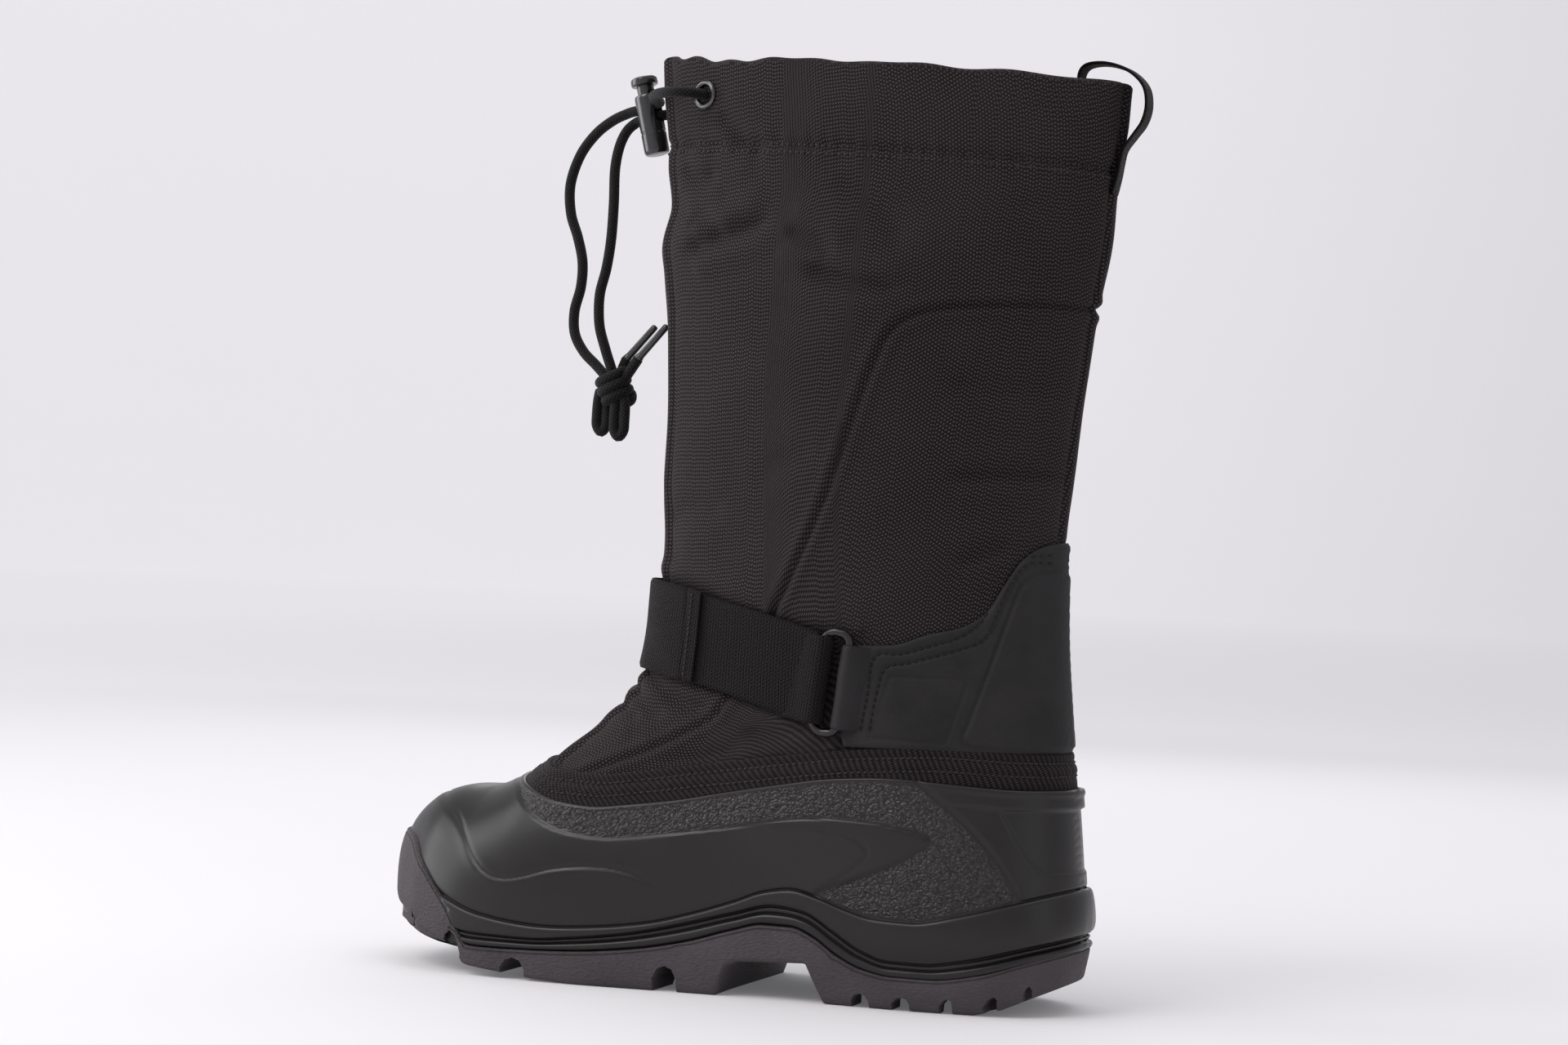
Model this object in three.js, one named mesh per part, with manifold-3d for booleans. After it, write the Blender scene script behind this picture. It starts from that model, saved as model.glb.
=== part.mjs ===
// Snow boot: a padded fabric upper sewn into a moulded rubber shell on a lugged outsole, with an
// ankle strap, a leather heel counter, a back pull loop and a drawcord with a spring cord lock.
//
// Millimetres. X runs from the back of the heel (0) to the toe, Y towards the outer side of the
// left foot, Z up from the ground. The finished group is moved so that its origin is the middle
// of its base.

import * as THREE from 'three';
import { mergeVertices } from 'three/addons/utils/BufferGeometryUtils.js';
import Module from 'manifold-3d';

const wasm = await Module();
wasm.setup();

// ---------------------------------------------------------------------------
// Driving dimensions
// ---------------------------------------------------------------------------

const SIDES_OF_FORM = 24; // points round each section of the last's form
const GAP = 0.3; // clearance between neighbouring pieces
const WELD = 0.05; // overlap of two bodies that are joined into one piece
const HALF_CUT = 120; // half the width of every cutting block, wider than the boot

const FABRIC_WALL = 4.5; // padded nylon wall of the upper
const SHELL_OUTSET = 3.4; // outer face of the rubber shell, proud of the fabric
const TWIN_BEAD_OUTSET = 4.4; // narrow bead just over the outsole
const BEAD_OUTSET = 5.6; // broad bead round the shell
const OUTSOLE_OUTSET = 5.0;
const BUMPER_OUTSET = 6.0; // rubber of the outsole turned up over the toe
const INSOLE_THICKNESS = 5;
const UPPER_TUCK = 14; // depth of upper held inside the shell
const TOE_X = 316; // foremost section of the form
const TOE_SHIFT_FROM = 262; // from here forward an outset also moves a section forward

const LUG_DEPTH = 6;
const GROOVE_WIDTH = 5;

const LEATHER = 2; // heel counter
const WEBBING = 1.6; // thickness of the strap and the pull loop
const STRAP_END_X = 112; // where the strap folds round the ring
const STRAP_OVERLAP_X = 168; // front end of the turned-back layer

const RING_WIRE = 3.6;
const RING_HEIGHT = 46;
const RING_WIDTH = 12.6; // between the centre lines of its two long legs
const RING_CORNER = 5;
const RING_CENTRE = [106.3, 49.6, 134.3];
const RING_LEAN = 6; // degrees, top to the rear
const RING_HOLE = RING_WIRE + 0.8;

const PULL_LOOP_WIDTH = 12;

const EYELET = { x: 183, y: 27.1, z: 382, turn: 65, flange: 6, neck: 3.6, bore: 2.9, depth: 3.4 };
const CORD = 4.6; // drawcord diameter
const CORD_SIDES = 8;

// The cord lock: its closed end, the lean of its axis towards the toe, and the turn of its slot
// towards the inner side, in degrees.
const LOCK = { x: 217, y: -8, z: 360, lean: 14, turn: 20, radius: 5.7, bore: 4.3, height: 27, floor: 4 };
const LOCK_SLOT = { z: 19.5, half_height: 5.2, half_width: 2.8 };
const BUTTON = { radius: 3.9, cap: 6.1, cap_height: 3.6, stand: 4.4, stem: 12, fork: 1.2 };
const KNOT = { centre: [231, -5, 257], radii: [10, 8, 8] };
const AGLET = { radius: 1.9, length: 16.5 };

// ---------------------------------------------------------------------------
// The last's form: one row for each section, from the toe back to the heel and up the shaft.
// A section is the plane through its bottom point and its top point, across the boot.
//   bottom [x, z], top [x, z]
//   outer, inner   half widths towards +Y and -Y
//   widest         where the section is widest, as a share of the way from bottom to top
//   low, high      roundness of the lower and the upper end: 2 is round, more is squarer
// ---------------------------------------------------------------------------

const SECTIONS = [
  { bottom: [316, 20], top: [315, 45], outer: 6, inner: 15, widest: 0.5, low: 3, high: 2.2 },
  { bottom: [314.5, 11], top: [312.5, 55], outer: 17, inner: 25, widest: 0.45, low: 4, high: 2.2 },
  { bottom: [310, 5], top: [307, 63], outer: 26, inner: 33, widest: 0.42, low: 5, high: 2.3 },
  { bottom: [302, 1], top: [298, 70], outer: 35, inner: 40, widest: 0.4, low: 6, high: 2.4 },
  { bottom: [290, -2], top: [285, 74], outer: 43, inner: 45, widest: 0.38, low: 7, high: 2.4 },
  { bottom: [274, -2], top: [268, 76], outer: 49, inner: 48, widest: 0.36, low: 7, high: 2.3 },
  { bottom: [254, -2], top: [252, 85], outer: 52.5, inner: 49.5, widest: 0.34, low: 8, high: 2.2 },
  { bottom: [232, -2], top: [239, 98], outer: 53, inner: 49.5, widest: 0.32, low: 8, high: 2.1 },
  { bottom: [208, -2], top: [227, 108], outer: 52, inner: 47.5, widest: 0.31, low: 8, high: 2 },
  { bottom: [182, -2], top: [215, 120], outer: 49, inner: 44.5, widest: 0.31, low: 8, high: 1.95 },
  { bottom: [154, -2], top: [207, 131], outer: 46, inner: 42, widest: 0.33, low: 8, high: 1.9 },
  { bottom: [126, -2], top: [203, 143], outer: 44, inner: 41, widest: 0.36, low: 8, high: 1.9 },
  { bottom: [98, -2], top: [201.5, 154], outer: 43.5, inner: 41.5, widest: 0.4, low: 7, high: 1.85 },
  { bottom: [70, -2], top: [201, 165], outer: 44.5, inner: 43, widest: 0.44, low: 6, high: 1.85 },
  { bottom: [44, -2], top: [201, 175], outer: 45.5, inner: 44, widest: 0.47, low: 4.5, high: 1.8 },
  { bottom: [19, 1], top: [201, 185], outer: 46, inner: 44.5, widest: 0.48, low: 3.2, high: 1.8 },
  { bottom: [9, 26], top: [201, 195], outer: 46, inner: 45, widest: 0.49, low: 2.5, high: 1.8 },
  { bottom: [10.5, 58], top: [201.5, 206], outer: 46, inner: 45, widest: 0.5, low: 2.2, high: 1.8 },
  { bottom: [14, 92], top: [202, 217], outer: 46, inner: 45, widest: 0.5, low: 2.05, high: 1.75 },
  { bottom: [18, 124], top: [202.5, 229], outer: 45.5, inner: 45, widest: 0.5, low: 1.95, high: 1.75 },
  { bottom: [21, 158], top: [203, 243], outer: 45.5, inner: 45, widest: 0.5, low: 1.85, high: 1.75 },
  { bottom: [22, 190], top: [203.5, 258], outer: 45.5, inner: 45, widest: 0.5, low: 1.8, high: 1.75 },
  { bottom: [21, 222], top: [204.5, 275], outer: 45.5, inner: 45, widest: 0.5, low: 1.75, high: 1.75 },
  { bottom: [18, 255], top: [205.5, 293], outer: 45, inner: 45, widest: 0.5, low: 1.75, high: 1.75 },
  { bottom: [13.5, 288], top: [207, 311], outer: 45, inner: 45, widest: 0.5, low: 1.75, high: 1.75 },
  { bottom: [9.5, 318], top: [208, 328], outer: 45, inner: 45, widest: 0.5, low: 1.75, high: 1.75 },
  { bottom: [8, 342], top: [206.5, 345], outer: 44, inner: 44, widest: 0.5, low: 1.75, high: 1.75 },
  { bottom: [6, 362], top: [208.5, 365], outer: 43.5, inner: 43.5, widest: 0.5, low: 1.75, high: 1.75 },
  { bottom: [2.5, 389], top: [212, 397], outer: 43, inner: 43, widest: 0.5, low: 1.75, high: 1.75 },
];

// Outlines seen from the side, as [x, z] points from the toe back to the heel.
const SHELL_TOP = [
  [345, 115], [285, 112], [264, 90], [254, 82], [243, 78.5], [229, 74.5], [213, 73.5], [197, 75.5], [176, 79],
  [150, 85], [126, 90], [103, 94], [80, 95.5], [55, 94.5], [27, 93], [-30, 93],
];
const BEAD_TOP = [
  [340, 62], [312, 46], [300, 39], [288, 32], [274, 28], [258, 24.5], [225, 23], [204, 25],
  [183, 28], [163, 33.5], [146, 39.5], [132, 45], [120, 47], [108, 44.5], [97, 41], [84, 38],
  [68, 37.5], [50, 41], [29, 47], [-30, 63],
];
const BEAD_BOTTOM = [
  [340, 45], [300, 29], [276, 20], [258, 18], [235, 18], [214, 20], [193, 23], [173, 27.5],
  [146, 35], [128, 39.5], [114, 38], [101, 31], [89, 24], [77, 20.5], [64, 20.5], [46, 23],
  [23, 29], [-30, 45],
];
const OUTSOLE_TOP = [
  [340, 30], [320, 25], [298, 19], [276, 14.5], [258, 12.5], [235, 13], [214, 14], [190, 16.5],
  [165, 21.5], [146, 27.5], [132, 31], [120, 31], [110, 27.5], [99, 20.5], [88, 16], [75, 14],
  [60, 14], [40, 17], [20, 23.5], [-30, 38],
];
const BUMPER_TOP = [
  [340, 60], [322, 52], [317, 48], [311, 40], [304, 31], [292, 22], [276, 15.5], [262, 12.5],
];
const SHELL_FLOOR = [
  [340, 38], [305, 30], [285, 24.5], [262, 21.5], [235, 20.5], [205, 22], [175, 27], [150, 33],
  [125, 36], [95, 36], [60, 35.5], [-30, 35.5],
];
const GROUND_LINE = [
  [340, 40], [323, 29], [318, 20], [312, 14], [306, 9.5], [298, 6], [288, 3], [276, 1], [264, 0],
  [167, 0], [160, 15.5], [118, 16.5], [109, 0], [42, 0], [22, 4.5], [6, 12], [-30, 30],
];
const COUNTER_OUTLINE = [
  [-30, 199], [20, 197.5], [28, 195], [35, 189], [41, 178], [47, 166.5], [53, 161.5], [70, 156],
  [82, 151.5], [97, 150.5], [102.5, 114.5], [97, 109], [60, 108.5], [-30, 110],
];
const STRAP_OUTLINE = [
  [STRAP_END_X - 1, 154.5], [141, 162.5], [165, 168.5], [190, 174.5], [240, 184],
  [240, 146], [189, 136], [169, 131.5], [139, 122.5], [STRAP_END_X + 3, 116],
];
const STRAP_OUTLINE_INNER = [
  [99.4, 151.5], [141, 162.5], [165, 168.5], [190, 174.5], [240, 184],
  [240, 146], [189, 136], [169, 131.5], [139, 122.5], [104.8, 114],
];
const OVERLAP_OUTLINE = [
  [STRAP_END_X - 1, 154], [141, 160.5], [STRAP_OVERLAP_X - 1, 166.5],
  [STRAP_OVERLAP_X + 1, 130.5], [139, 121.5], [STRAP_END_X + 3, 115.5],
];

// Side notches between the lugs: x, half width, height above the ground.
const SIDE_NOTCHES = [
  { x: 37, half: 3, height: 8 },
  { x: 57, half: 3, height: 6.5 },
  { x: 76, half: 3, height: 6.5 },
  { x: 94, half: 3, height: 6.5 },
  { x: 193, half: 6, height: 10 },
  { x: 226, half: 3, height: 5 },
  { x: 262, half: 4.5, height: 5.5 },
  { x: 299, half: 4, height: 11 },
];

// ---------------------------------------------------------------------------
// Solids and booleans
// ---------------------------------------------------------------------------

function solid(geometry) {
  geometry.deleteAttribute('normal');
  geometry.deleteAttribute('uv');
  const merged = mergeVertices(geometry, 1e-4);
  const mesh = new wasm.Mesh({
    numProp: 3,
    vertProperties: new Float32Array(merged.attributes.position.array),
    triVerts: new Uint32Array(merged.index.array),
  });
  return new wasm.Manifold(mesh);
}

function geometryOf(body) {
  const mesh = body.getMesh();
  const geometry = new THREE.BufferGeometry();
  geometry.setAttribute('position', new THREE.BufferAttribute(mesh.vertProperties, 3));
  geometry.setIndex(new THREE.BufferAttribute(mesh.triVerts, 1));
  return geometry;
}

function joinAll(bodies) {
  return bodies.reduce((whole, body) => whole.add(body));
}

// A block with a side outline of [x, z] points, from y0 to y1.
function sideBlock(outline, y0 = -HALF_CUT, y1 = HALF_CUT) {
  const shape = new THREE.Shape(outline.map(([x, z]) => new THREE.Vector2(x, z)));
  const geometry = new THREE.ExtrudeGeometry(shape, { depth: y1 - y0, bevelEnabled: false });
  geometry.rotateX(Math.PI / 2);
  geometry.translate(0, y1, 0);
  return solid(geometry);
}

// Everything under, or over, a line of [x, z] points that runs from the toe to the heel.
function under(line, drop = 0, shift = 0) {
  const moved = line.map(([x, z]) => [x + shift, z - drop]);
  return sideBlock([...moved, [moved.at(-1)[0], -60], [moved[0][0], -60]]);
}

function over(line, drop = 0, shift = 0) {
  const moved = line.map(([x, z]) => [x + shift, z - drop]);
  return sideBlock([...moved, [moved.at(-1)[0], 480], [moved[0][0], 480]]);
}

// ---------------------------------------------------------------------------
// The form
// ---------------------------------------------------------------------------

// How far a section moves forward for each unit of outset: 1 at the toe tip, 0 behind the toes.
function toeward(x) {
  const share = (x - TOE_SHIFT_FROM) / (TOE_X - TOE_SHIFT_FROM);
  return THREE.MathUtils.clamp(share, 0, 1) ** 2;
}

// The points of one section, moved out by outset (in, where it is negative).
function sectionPoints(row, outset) {
  const bottom = new THREE.Vector3(row.bottom[0], 0, row.bottom[1]);
  const top = new THREE.Vector3(row.top[0], 0, row.top[1]);
  const along = top.clone().sub(bottom).normalize();
  const forward = outset * toeward(row.bottom[0]);
  bottom.addScaledVector(along, -outset);
  top.addScaledVector(along, outset);
  bottom.x += forward;
  top.x += forward;
  const waist = bottom.clone().lerp(top, row.widest);
  return Array.from({ length: SIDES_OF_FORM }, (_, i) => {
    const angle = (2 * Math.PI * i) / SIDES_OF_FORM;
    const up = -Math.cos(angle);
    const side = Math.sin(angle);
    const power = up < 0 ? row.low : row.high;
    const rise = Math.abs(up) ** (2 / power);
    const spread = Math.abs(side) ** (2 / power);
    const width = (side > 0 ? row.outer : row.inner) + outset;
    const point = waist.clone().lerp(up < 0 ? bottom : top, rise);
    return point.setY(Math.sign(side) * spread * width);
  });
}

// A closed solid through all sections. The collar end goes on by reach past the last section.
function form(outset, reach = 0) {
  const rings = SECTIONS.map((row) => sectionPoints(row, outset));
  if (reach > 0) {
    rings.push(rings.at(-1).map((point) => point.clone().add(new THREE.Vector3(0, 0, reach))));
  }
  const positions = rings.flat().flatMap((point) => point.toArray());
  const index = [];
  const n = SIDES_OF_FORM;
  for (let ring = 0; ring + 1 < rings.length; ring += 1) {
    for (let i = 0; i < n; i += 1) {
      const a = ring * n + i;
      const b = ring * n + ((i + 1) % n);
      index.push(a, b, b + n, a, b + n, a + n);
    }
  }
  const last = (rings.length - 1) * n;
  for (let i = 1; i + 1 < n; i += 1) {
    index.push(0, i + 1, i);
    index.push(last, last + i, last + i + 1);
  }
  const geometry = new THREE.BufferGeometry();
  geometry.setAttribute('position', new THREE.Float32BufferAttribute(positions, 3));
  geometry.setIndex(index);
  const body = solid(geometry);
  return body.volume() < 0 ? solid(geometry.clone().setIndex(index.reverse())) : body;
}

// A layer that follows the form between two outsets, cut to a side outline.
function layer(from, to, outline, y0 = -HALF_CUT, y1 = HALF_CUT) {
  return form(to).subtract(form(from)).intersect(sideBlock(outline, y0, y1));
}

// ---------------------------------------------------------------------------
// Foot: outsole, shell, insole
// ---------------------------------------------------------------------------

function plate(outline, z0, z1) {
  const shape = new THREE.Shape(outline.map(([x, y]) => new THREE.Vector2(x, y)));
  const geometry = new THREE.ExtrudeGeometry(shape, { depth: z1 - z0, bevelEnabled: false });
  geometry.translate(0, 0, z0);
  return solid(geometry);
}

// A notch across one side of the sole, with a rounded top.
function sideNotch({ x, half, height }, side) {
  const outline = [
    [x - half, -8], [x - half, height * 0.5], [x - half * 0.6, height * 0.88], [x, height],
    [x + half * 0.6, height * 0.88], [x + half, height * 0.5], [x + half, -8],
  ];
  const ends = side > 0 ? [25, HALF_CUT] : [-HALF_CUT, -25];
  return sideBlock(outline, ends[0], ends[1]);
}

// A groove of the tread that runs from one point of the plan to another.
function groove([x0, y0], [x1, y1], width = GROOVE_WIDTH) {
  const along = new THREE.Vector2(x1 - x0, y1 - y0).normalize();
  const across = [(-along.y * width) / 2, (along.x * width) / 2];
  const outline = [
    [x0 - across[0], y0 - across[1]], [x1 - across[0], y1 - across[1]],
    [x1 + across[0], y1 + across[1]], [x0 + across[0], y0 + across[1]],
  ];
  return plate(outline, -10, LUG_DEPTH);
}

function treadGrooves() {
  const grooves = [];
  const channels = [
    { from: 44, to: 106, y: 20 },
    { from: 170, to: 268, y: 22 },
  ];
  for (const { from, to, y } of channels) {
    grooves.push(groove([from, y], [to, y]));
    grooves.push(groove([from, -y], [to, -y]));
  }
  for (const x of [57, 76, 94, 193, 226, 262]) {
    grooves.push(groove([x, 30], [x + 10, 0]));
    grooves.push(groove([x, -30], [x + 10, 0]));
  }
  return joinAll(grooves);
}

function outsole() {
  const sole = form(OUTSOLE_OUTSET).intersect(under(OUTSOLE_TOP, GAP / 2));
  const bumperOutline = [...BUMPER_TOP, [262, -60], [340, -60]];
  const bumper = layer(SHELL_OUTSET + GAP, BUMPER_OUTSET, bumperOutline);
  const notches = SIDE_NOTCHES.flatMap((notch) => [sideNotch(notch, 1), sideNotch(notch, -1)]);
  return sole
    .add(bumper)
    .intersect(over(GROUND_LINE))
    .subtract(joinAll(notches))
    .subtract(treadGrooves());
}

function cavity() {
  return form(GAP).intersect(over(SHELL_FLOOR));
}

function rubberShell() {
  const body = form(SHELL_OUTSET).intersect(under(SHELL_TOP));
  const bumperRoom = sideBlock([...BUMPER_TOP.map(([x, z]) => [x, z + GAP]), [262, -60], [340, -60]]);
  const bead = form(BEAD_OUTSET).intersect(under(BEAD_TOP)).intersect(over(BEAD_BOTTOM));
  const twin = form(TWIN_BEAD_OUTSET).intersect(under(BEAD_BOTTOM, -1)).intersect(over(OUTSOLE_TOP));
  return body
    .add(bead.subtract(bumperRoom))
    .add(twin.subtract(bumperRoom))
    .intersect(over(OUTSOLE_TOP, -GAP / 2))
    .subtract(cavity());
}

function insole() {
  return form(-GAP)
    .intersect(over(SHELL_FLOOR, -GAP))
    .intersect(under(SHELL_FLOOR, -GAP - INSOLE_THICKNESS));
}

// ---------------------------------------------------------------------------
// Upper and what is sewn to it
// ---------------------------------------------------------------------------

function eyeletPlace(side) {
  const direction = new THREE.Vector3(0, 1, 0);
  direction.applyAxisAngle(new THREE.Vector3(0, 0, 1), ((EYELET.turn - 90) * Math.PI) / 180);
  direction.y *= side;
  return { centre: new THREE.Vector3(EYELET.x, side * EYELET.y, EYELET.z), direction };
}

// Moves a geometry built along +Z from the origin so that it points along direction from centre.
function aim(geometry, centre, direction) {
  const turn = new THREE.Quaternion().setFromUnitVectors(new THREE.Vector3(0, 0, 1), direction);
  geometry.applyQuaternion(turn);
  return geometry.translate(centre.x, centre.y, centre.z);
}

function upper() {
  const shaft = form(0).intersect(over(SHELL_TOP, UPPER_TUCK, 8));
  const holes = [1, -1].map((side) => {
    const { centre, direction } = eyeletPlace(side);
    const hole = new THREE.CylinderGeometry(EYELET.neck + GAP, EYELET.neck + GAP, 24, 16);
    return solid(aim(hole.rotateX(Math.PI / 2), centre, direction));
  });
  return shaft.subtract(form(-FABRIC_WALL, 20)).subtract(joinAll(holes));
}

function ringLegLine(side) {
  const lean = new THREE.Vector3(0, 1, 0);
  const up = new THREE.Vector3(0, 0, 1).applyAxisAngle(lean, (-RING_LEAN * Math.PI) / 180);
  const across = new THREE.Vector3(1, 0, 0).applyAxisAngle(lean, (-RING_LEAN * Math.PI) / 180);
  const centre = new THREE.Vector3(...RING_CENTRE).addScaledVector(across, (side * RING_WIDTH) / 2);
  return { centre, up };
}

// The rounded fold of leather or webbing that holds a leg of the ring.
function ringFold(side, half, height, rise) {
  const { centre, up } = ringLegLine(side);
  const fold = new THREE.CylinderGeometry(half, half, height, 16);
  return solid(aim(fold.rotateX(Math.PI / 2), centre.addScaledVector(up, rise), up));
}

function heelCounter() {
  const sheet = layer(GAP, GAP + LEATHER, COUNTER_OUTLINE);
  const fold = ringFold(-1, 4.4, 35.5, -1).subtract(form(GAP));
  return sheet.add(fold).subtract(ringOf(RING_HOLE));
}

function ankleStrap() {
  const from = GAP;
  const to = GAP + WEBBING;
  const outer = layer(from, to, STRAP_OUTLINE, 0, HALF_CUT);
  const inner = layer(from, to, STRAP_OUTLINE_INNER, -HALF_CUT, WELD);
  const overlap = layer(to - WELD, to + WEBBING, OVERLAP_OUTLINE, 0, HALF_CUT);
  const fold = ringFold(1, 4.2, 37, 0.6).subtract(form(GAP));
  return joinAll([outer, inner, overlap, fold]).subtract(ringOf(RING_HOLE));
}

// A rounded rectangle of wire, made from a torus whose sides are moved apart.
function ringOf(thickness) {
  const torus = new THREE.TorusGeometry(RING_CORNER, thickness / 2, 8, 24);
  const position = torus.attributes.position;
  const moveX = RING_WIDTH / 2 - RING_CORNER;
  const moveY = (RING_HEIGHT - RING_WIRE) / 2 - RING_CORNER;
  for (let i = 0; i < position.count; i += 1) {
    const x = position.getX(i);
    const y = position.getY(i);
    position.setX(i, x + Math.sign(Math.round(x * 1e3)) * moveX);
    position.setY(i, y + Math.sign(Math.round(y * 1e3)) * moveY);
  }
  torus.rotateX(Math.PI / 2);
  torus.rotateY((-RING_LEAN * Math.PI) / 180);
  torus.translate(...RING_CENTRE);
  return solid(torus);
}

// A ribbon of webbing that follows a side path and is PULL_LOOP_WIDTH wide.
function pullLoop() {
  const middle = new THREE.SplineCurve([
    [8.3, 316], [6.8, 342], [5.6, 356], [4.2, 364], [0, 369.5], [-3.6, 375], [-5, 382], [-3.4, 390],
    [2, 396], [9, 399.3], [16, 400.4], [22.5, 399.4], [25, 395], [22.5, 388], [18, 380], [16, 366],
  ].map(([x, z]) => new THREE.Vector2(x, z)));
  const steps = 28;
  const outside = [];
  const inside = [];
  for (let i = 0; i <= steps; i += 1) {
    const point = middle.getPointAt(i / steps);
    const along = middle.getTangentAt(i / steps);
    const across = new THREE.Vector2(-along.y, along.x).multiplyScalar(WEBBING / 2);
    outside.push(point.clone().add(across));
    inside.unshift(point.clone().sub(across));
  }
  const outline = [...outside, ...inside].map((point) => [point.x, point.y]);
  return sideBlock(outline, -PULL_LOOP_WIDTH / 2, PULL_LOOP_WIDTH / 2);
}

function eyelet(side) {
  const { flange, neck, bore, depth } = EYELET;
  const profile = [
    [bore, -depth], [neck, -depth], [neck, 0.5], [flange, 0.5], [flange - 0.2, 1.3],
    [flange - 1.4, 1.8], [bore + 0.6, 1.6], [bore, 1], [bore, -depth],
  ];
  const { centre, direction } = eyeletPlace(side);
  return solid(aim(turned(profile, 16), centre, direction));
}

// ---------------------------------------------------------------------------
// Cord lock and drawcord
// ---------------------------------------------------------------------------

// The cord lock stands on its own axis: z is measured up from its closed end.
function placeOnLock(geometry) {
  geometry.rotateY((LOCK.lean * Math.PI) / 180);
  return geometry.translate(LOCK.x, LOCK.y, LOCK.z);
}

// The cross slot that both cords run through, from z0 to z1 along the lock's axis.
function lockSlot(z0, z1) {
  const slot = new THREE.BoxGeometry(4 * LOCK.radius, 2 * LOCK_SLOT.half_width, z1 - z0);
  slot.rotateZ((-LOCK.turn * Math.PI) / 180);
  return solid(placeOnLock(slot.translate(0, 0, (z0 + z1) / 2)));
}

function turned(profile, sides) {
  const points = profile.map(([r, z]) => new THREE.Vector2(r, z));
  return new THREE.LatheGeometry(points, sides).rotateX(Math.PI / 2);
}

function lockBarrel() {
  const { radius, bore, height, floor } = LOCK;
  const profile = [
    [0, 0], [radius - 1.2, 0], [radius - 0.3, 0.8], [radius, 2.4], [radius, height - 1],
    [radius - 0.6, height], [bore, height], [bore, floor], [0, floor],
  ];
  const { z, half_height } = LOCK_SLOT;
  return solid(placeOnLock(turned(profile, 16))).subtract(lockSlot(z - half_height, z + half_height));
}

// The spring button: a cap on a forked stem that straddles the cords.
function lockButton() {
  const { radius, cap, cap_height, stand, stem, fork } = BUTTON;
  const foot = LOCK.height - stem;
  const seat = LOCK.height + stand;
  const profile = [
    [0, foot], [radius, foot], [radius, seat], [cap - 0.5, seat], [cap, seat + 0.6],
    [cap, seat + cap_height - 1], [cap - 1, seat + cap_height], [0, seat + cap_height],
  ];
  return solid(placeOnLock(turned(profile, 16))).subtract(lockSlot(foot - 1, LOCK.height + fork));
}

// A round cord of CORD_SIDES flats along a smooth line through points.
function cord({ steps, points }, radius = CORD / 2) {
  const line = new THREE.CatmullRomCurve3(points.map((point) => new THREE.Vector3(...point)));
  const corners = Array.from({ length: CORD_SIDES }, (_, i) => {
    const angle = (2 * Math.PI * i) / CORD_SIDES;
    return new THREE.Vector2(radius * Math.cos(angle), radius * Math.sin(angle));
  });
  const section = new THREE.Shape(corners);
  return solid(new THREE.ExtrudeGeometry(section, { steps, extrudePath: line, bevelEnabled: false }));
}

// Each stretch of the drawcord, as [x, y, z] points along its middle.
const CORD_STRETCHES = {
  drawcord_to_lock_outer: {
    steps: 8,
    points: [
      [184.9, 31.1, 382], [187.5, 35.5, 382], [192.5, 37.5, 382], [199, 34.5, 382], [205.5, 27, 382.2],
      [210.5, 17.5, 382.4], [213.6, 8, 382.6], [215, 0, 382.6], [215.3, -3.6, 382.6],
    ],
  },
  drawcord_to_lock_inner: {
    steps: 8,
    points: [
      [184.9, -31.1, 382], [187.5, -35.5, 382], [192.5, -37.5, 381.6], [199, -35.4, 380.6],
      [205, -29.5, 379.4], [209, -22, 378.5], [211.4, -15, 378], [213.2, -11, 377.6],
    ],
  },
  drawcord_strand_front: {
    steps: 16,
    points: [
      [227.9, -10.1, 379.8], [233, -11.8, 378.8], [241, -13, 375.5], [249, -13.6, 369.5],
      [256, -13.8, 360], [260, -13.6, 347], [259, -13.2, 334], [254.8, -12.6, 323],
      [251.8, -12, 312], [251.8, -11.5, 301], [254, -10.8, 290], [253, -10, 280], [248, -9, 272],
      [241.5, -8, 266.3], [237.9, -7, 263.4],
    ],
  },
  drawcord_strand_rear: {
    steps: 14,
    points: [
      [226.7, -10.1, 375.2], [229.3, -10.7, 374.1], [232.8, -9.8, 370.5], [235.3, -8.2, 363.5],
      [236.4, -6.8, 353], [235.8, -5.8, 338], [236, -5.2, 322], [237.4, -4.8, 309],
      [239.8, -4.4, 297], [239.2, -4.2, 284], [236, -4.4, 273.5], [233.2, -4.8, 265.8],
    ],
  },
  drawcord_loop_front: {
    steps: 8,
    points: [
      [239.5, -7, 250.3], [239.6, -7, 243], [239.3, -7, 239], [236.8, -7, 236.6], [234.3, -7, 239],
      [234, -7, 243], [234.1, -7, 248.6],
    ],
  },
  drawcord_loop_rear: {
    steps: 8,
    points: [
      [229.8, -3.2, 248.6], [230, -3.2, 241], [229.7, -3.2, 237], [227.2, -3.2, 234.6],
      [224.7, -3.2, 237], [224.4, -3.2, 241], [224.5, -3.2, 249],
    ],
  },
  drawcord_tail_front: { steps: 2, points: [[226.6, -6.8, 265.3], [225.3, -6.9, 267.4], [224.1, -7, 269.3]] },
  drawcord_tail_rear: { steps: 2, points: [[223, -3, 263], [221, -2.7, 265.4], [218.6, -2.3, 268]] },
};

const AGLETS = {
  cord_tip_front: { start: [223.9, -7, 269.6], end: [215.3, -7, 283.8] },
  cord_tip_rear: { start: [218.1, -2.2, 268.6], end: [210.4, -2, 283.3] },
};

function aglet({ start, end }) {
  const { radius, length } = AGLET;
  const tip = turned([[0, 0], [radius, 0], [radius, length - 0.8], [radius - 0.7, length], [0, length]], 12);
  const from = new THREE.Vector3(...start);
  return solid(aim(tip, from, new THREE.Vector3(...end).sub(from).normalize()));
}

function knot() {
  return solid(new THREE.SphereGeometry(1, 14, 9).scale(...KNOT.radii).translate(...KNOT.centre));
}

// ---------------------------------------------------------------------------
// The boot
// ---------------------------------------------------------------------------

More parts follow.
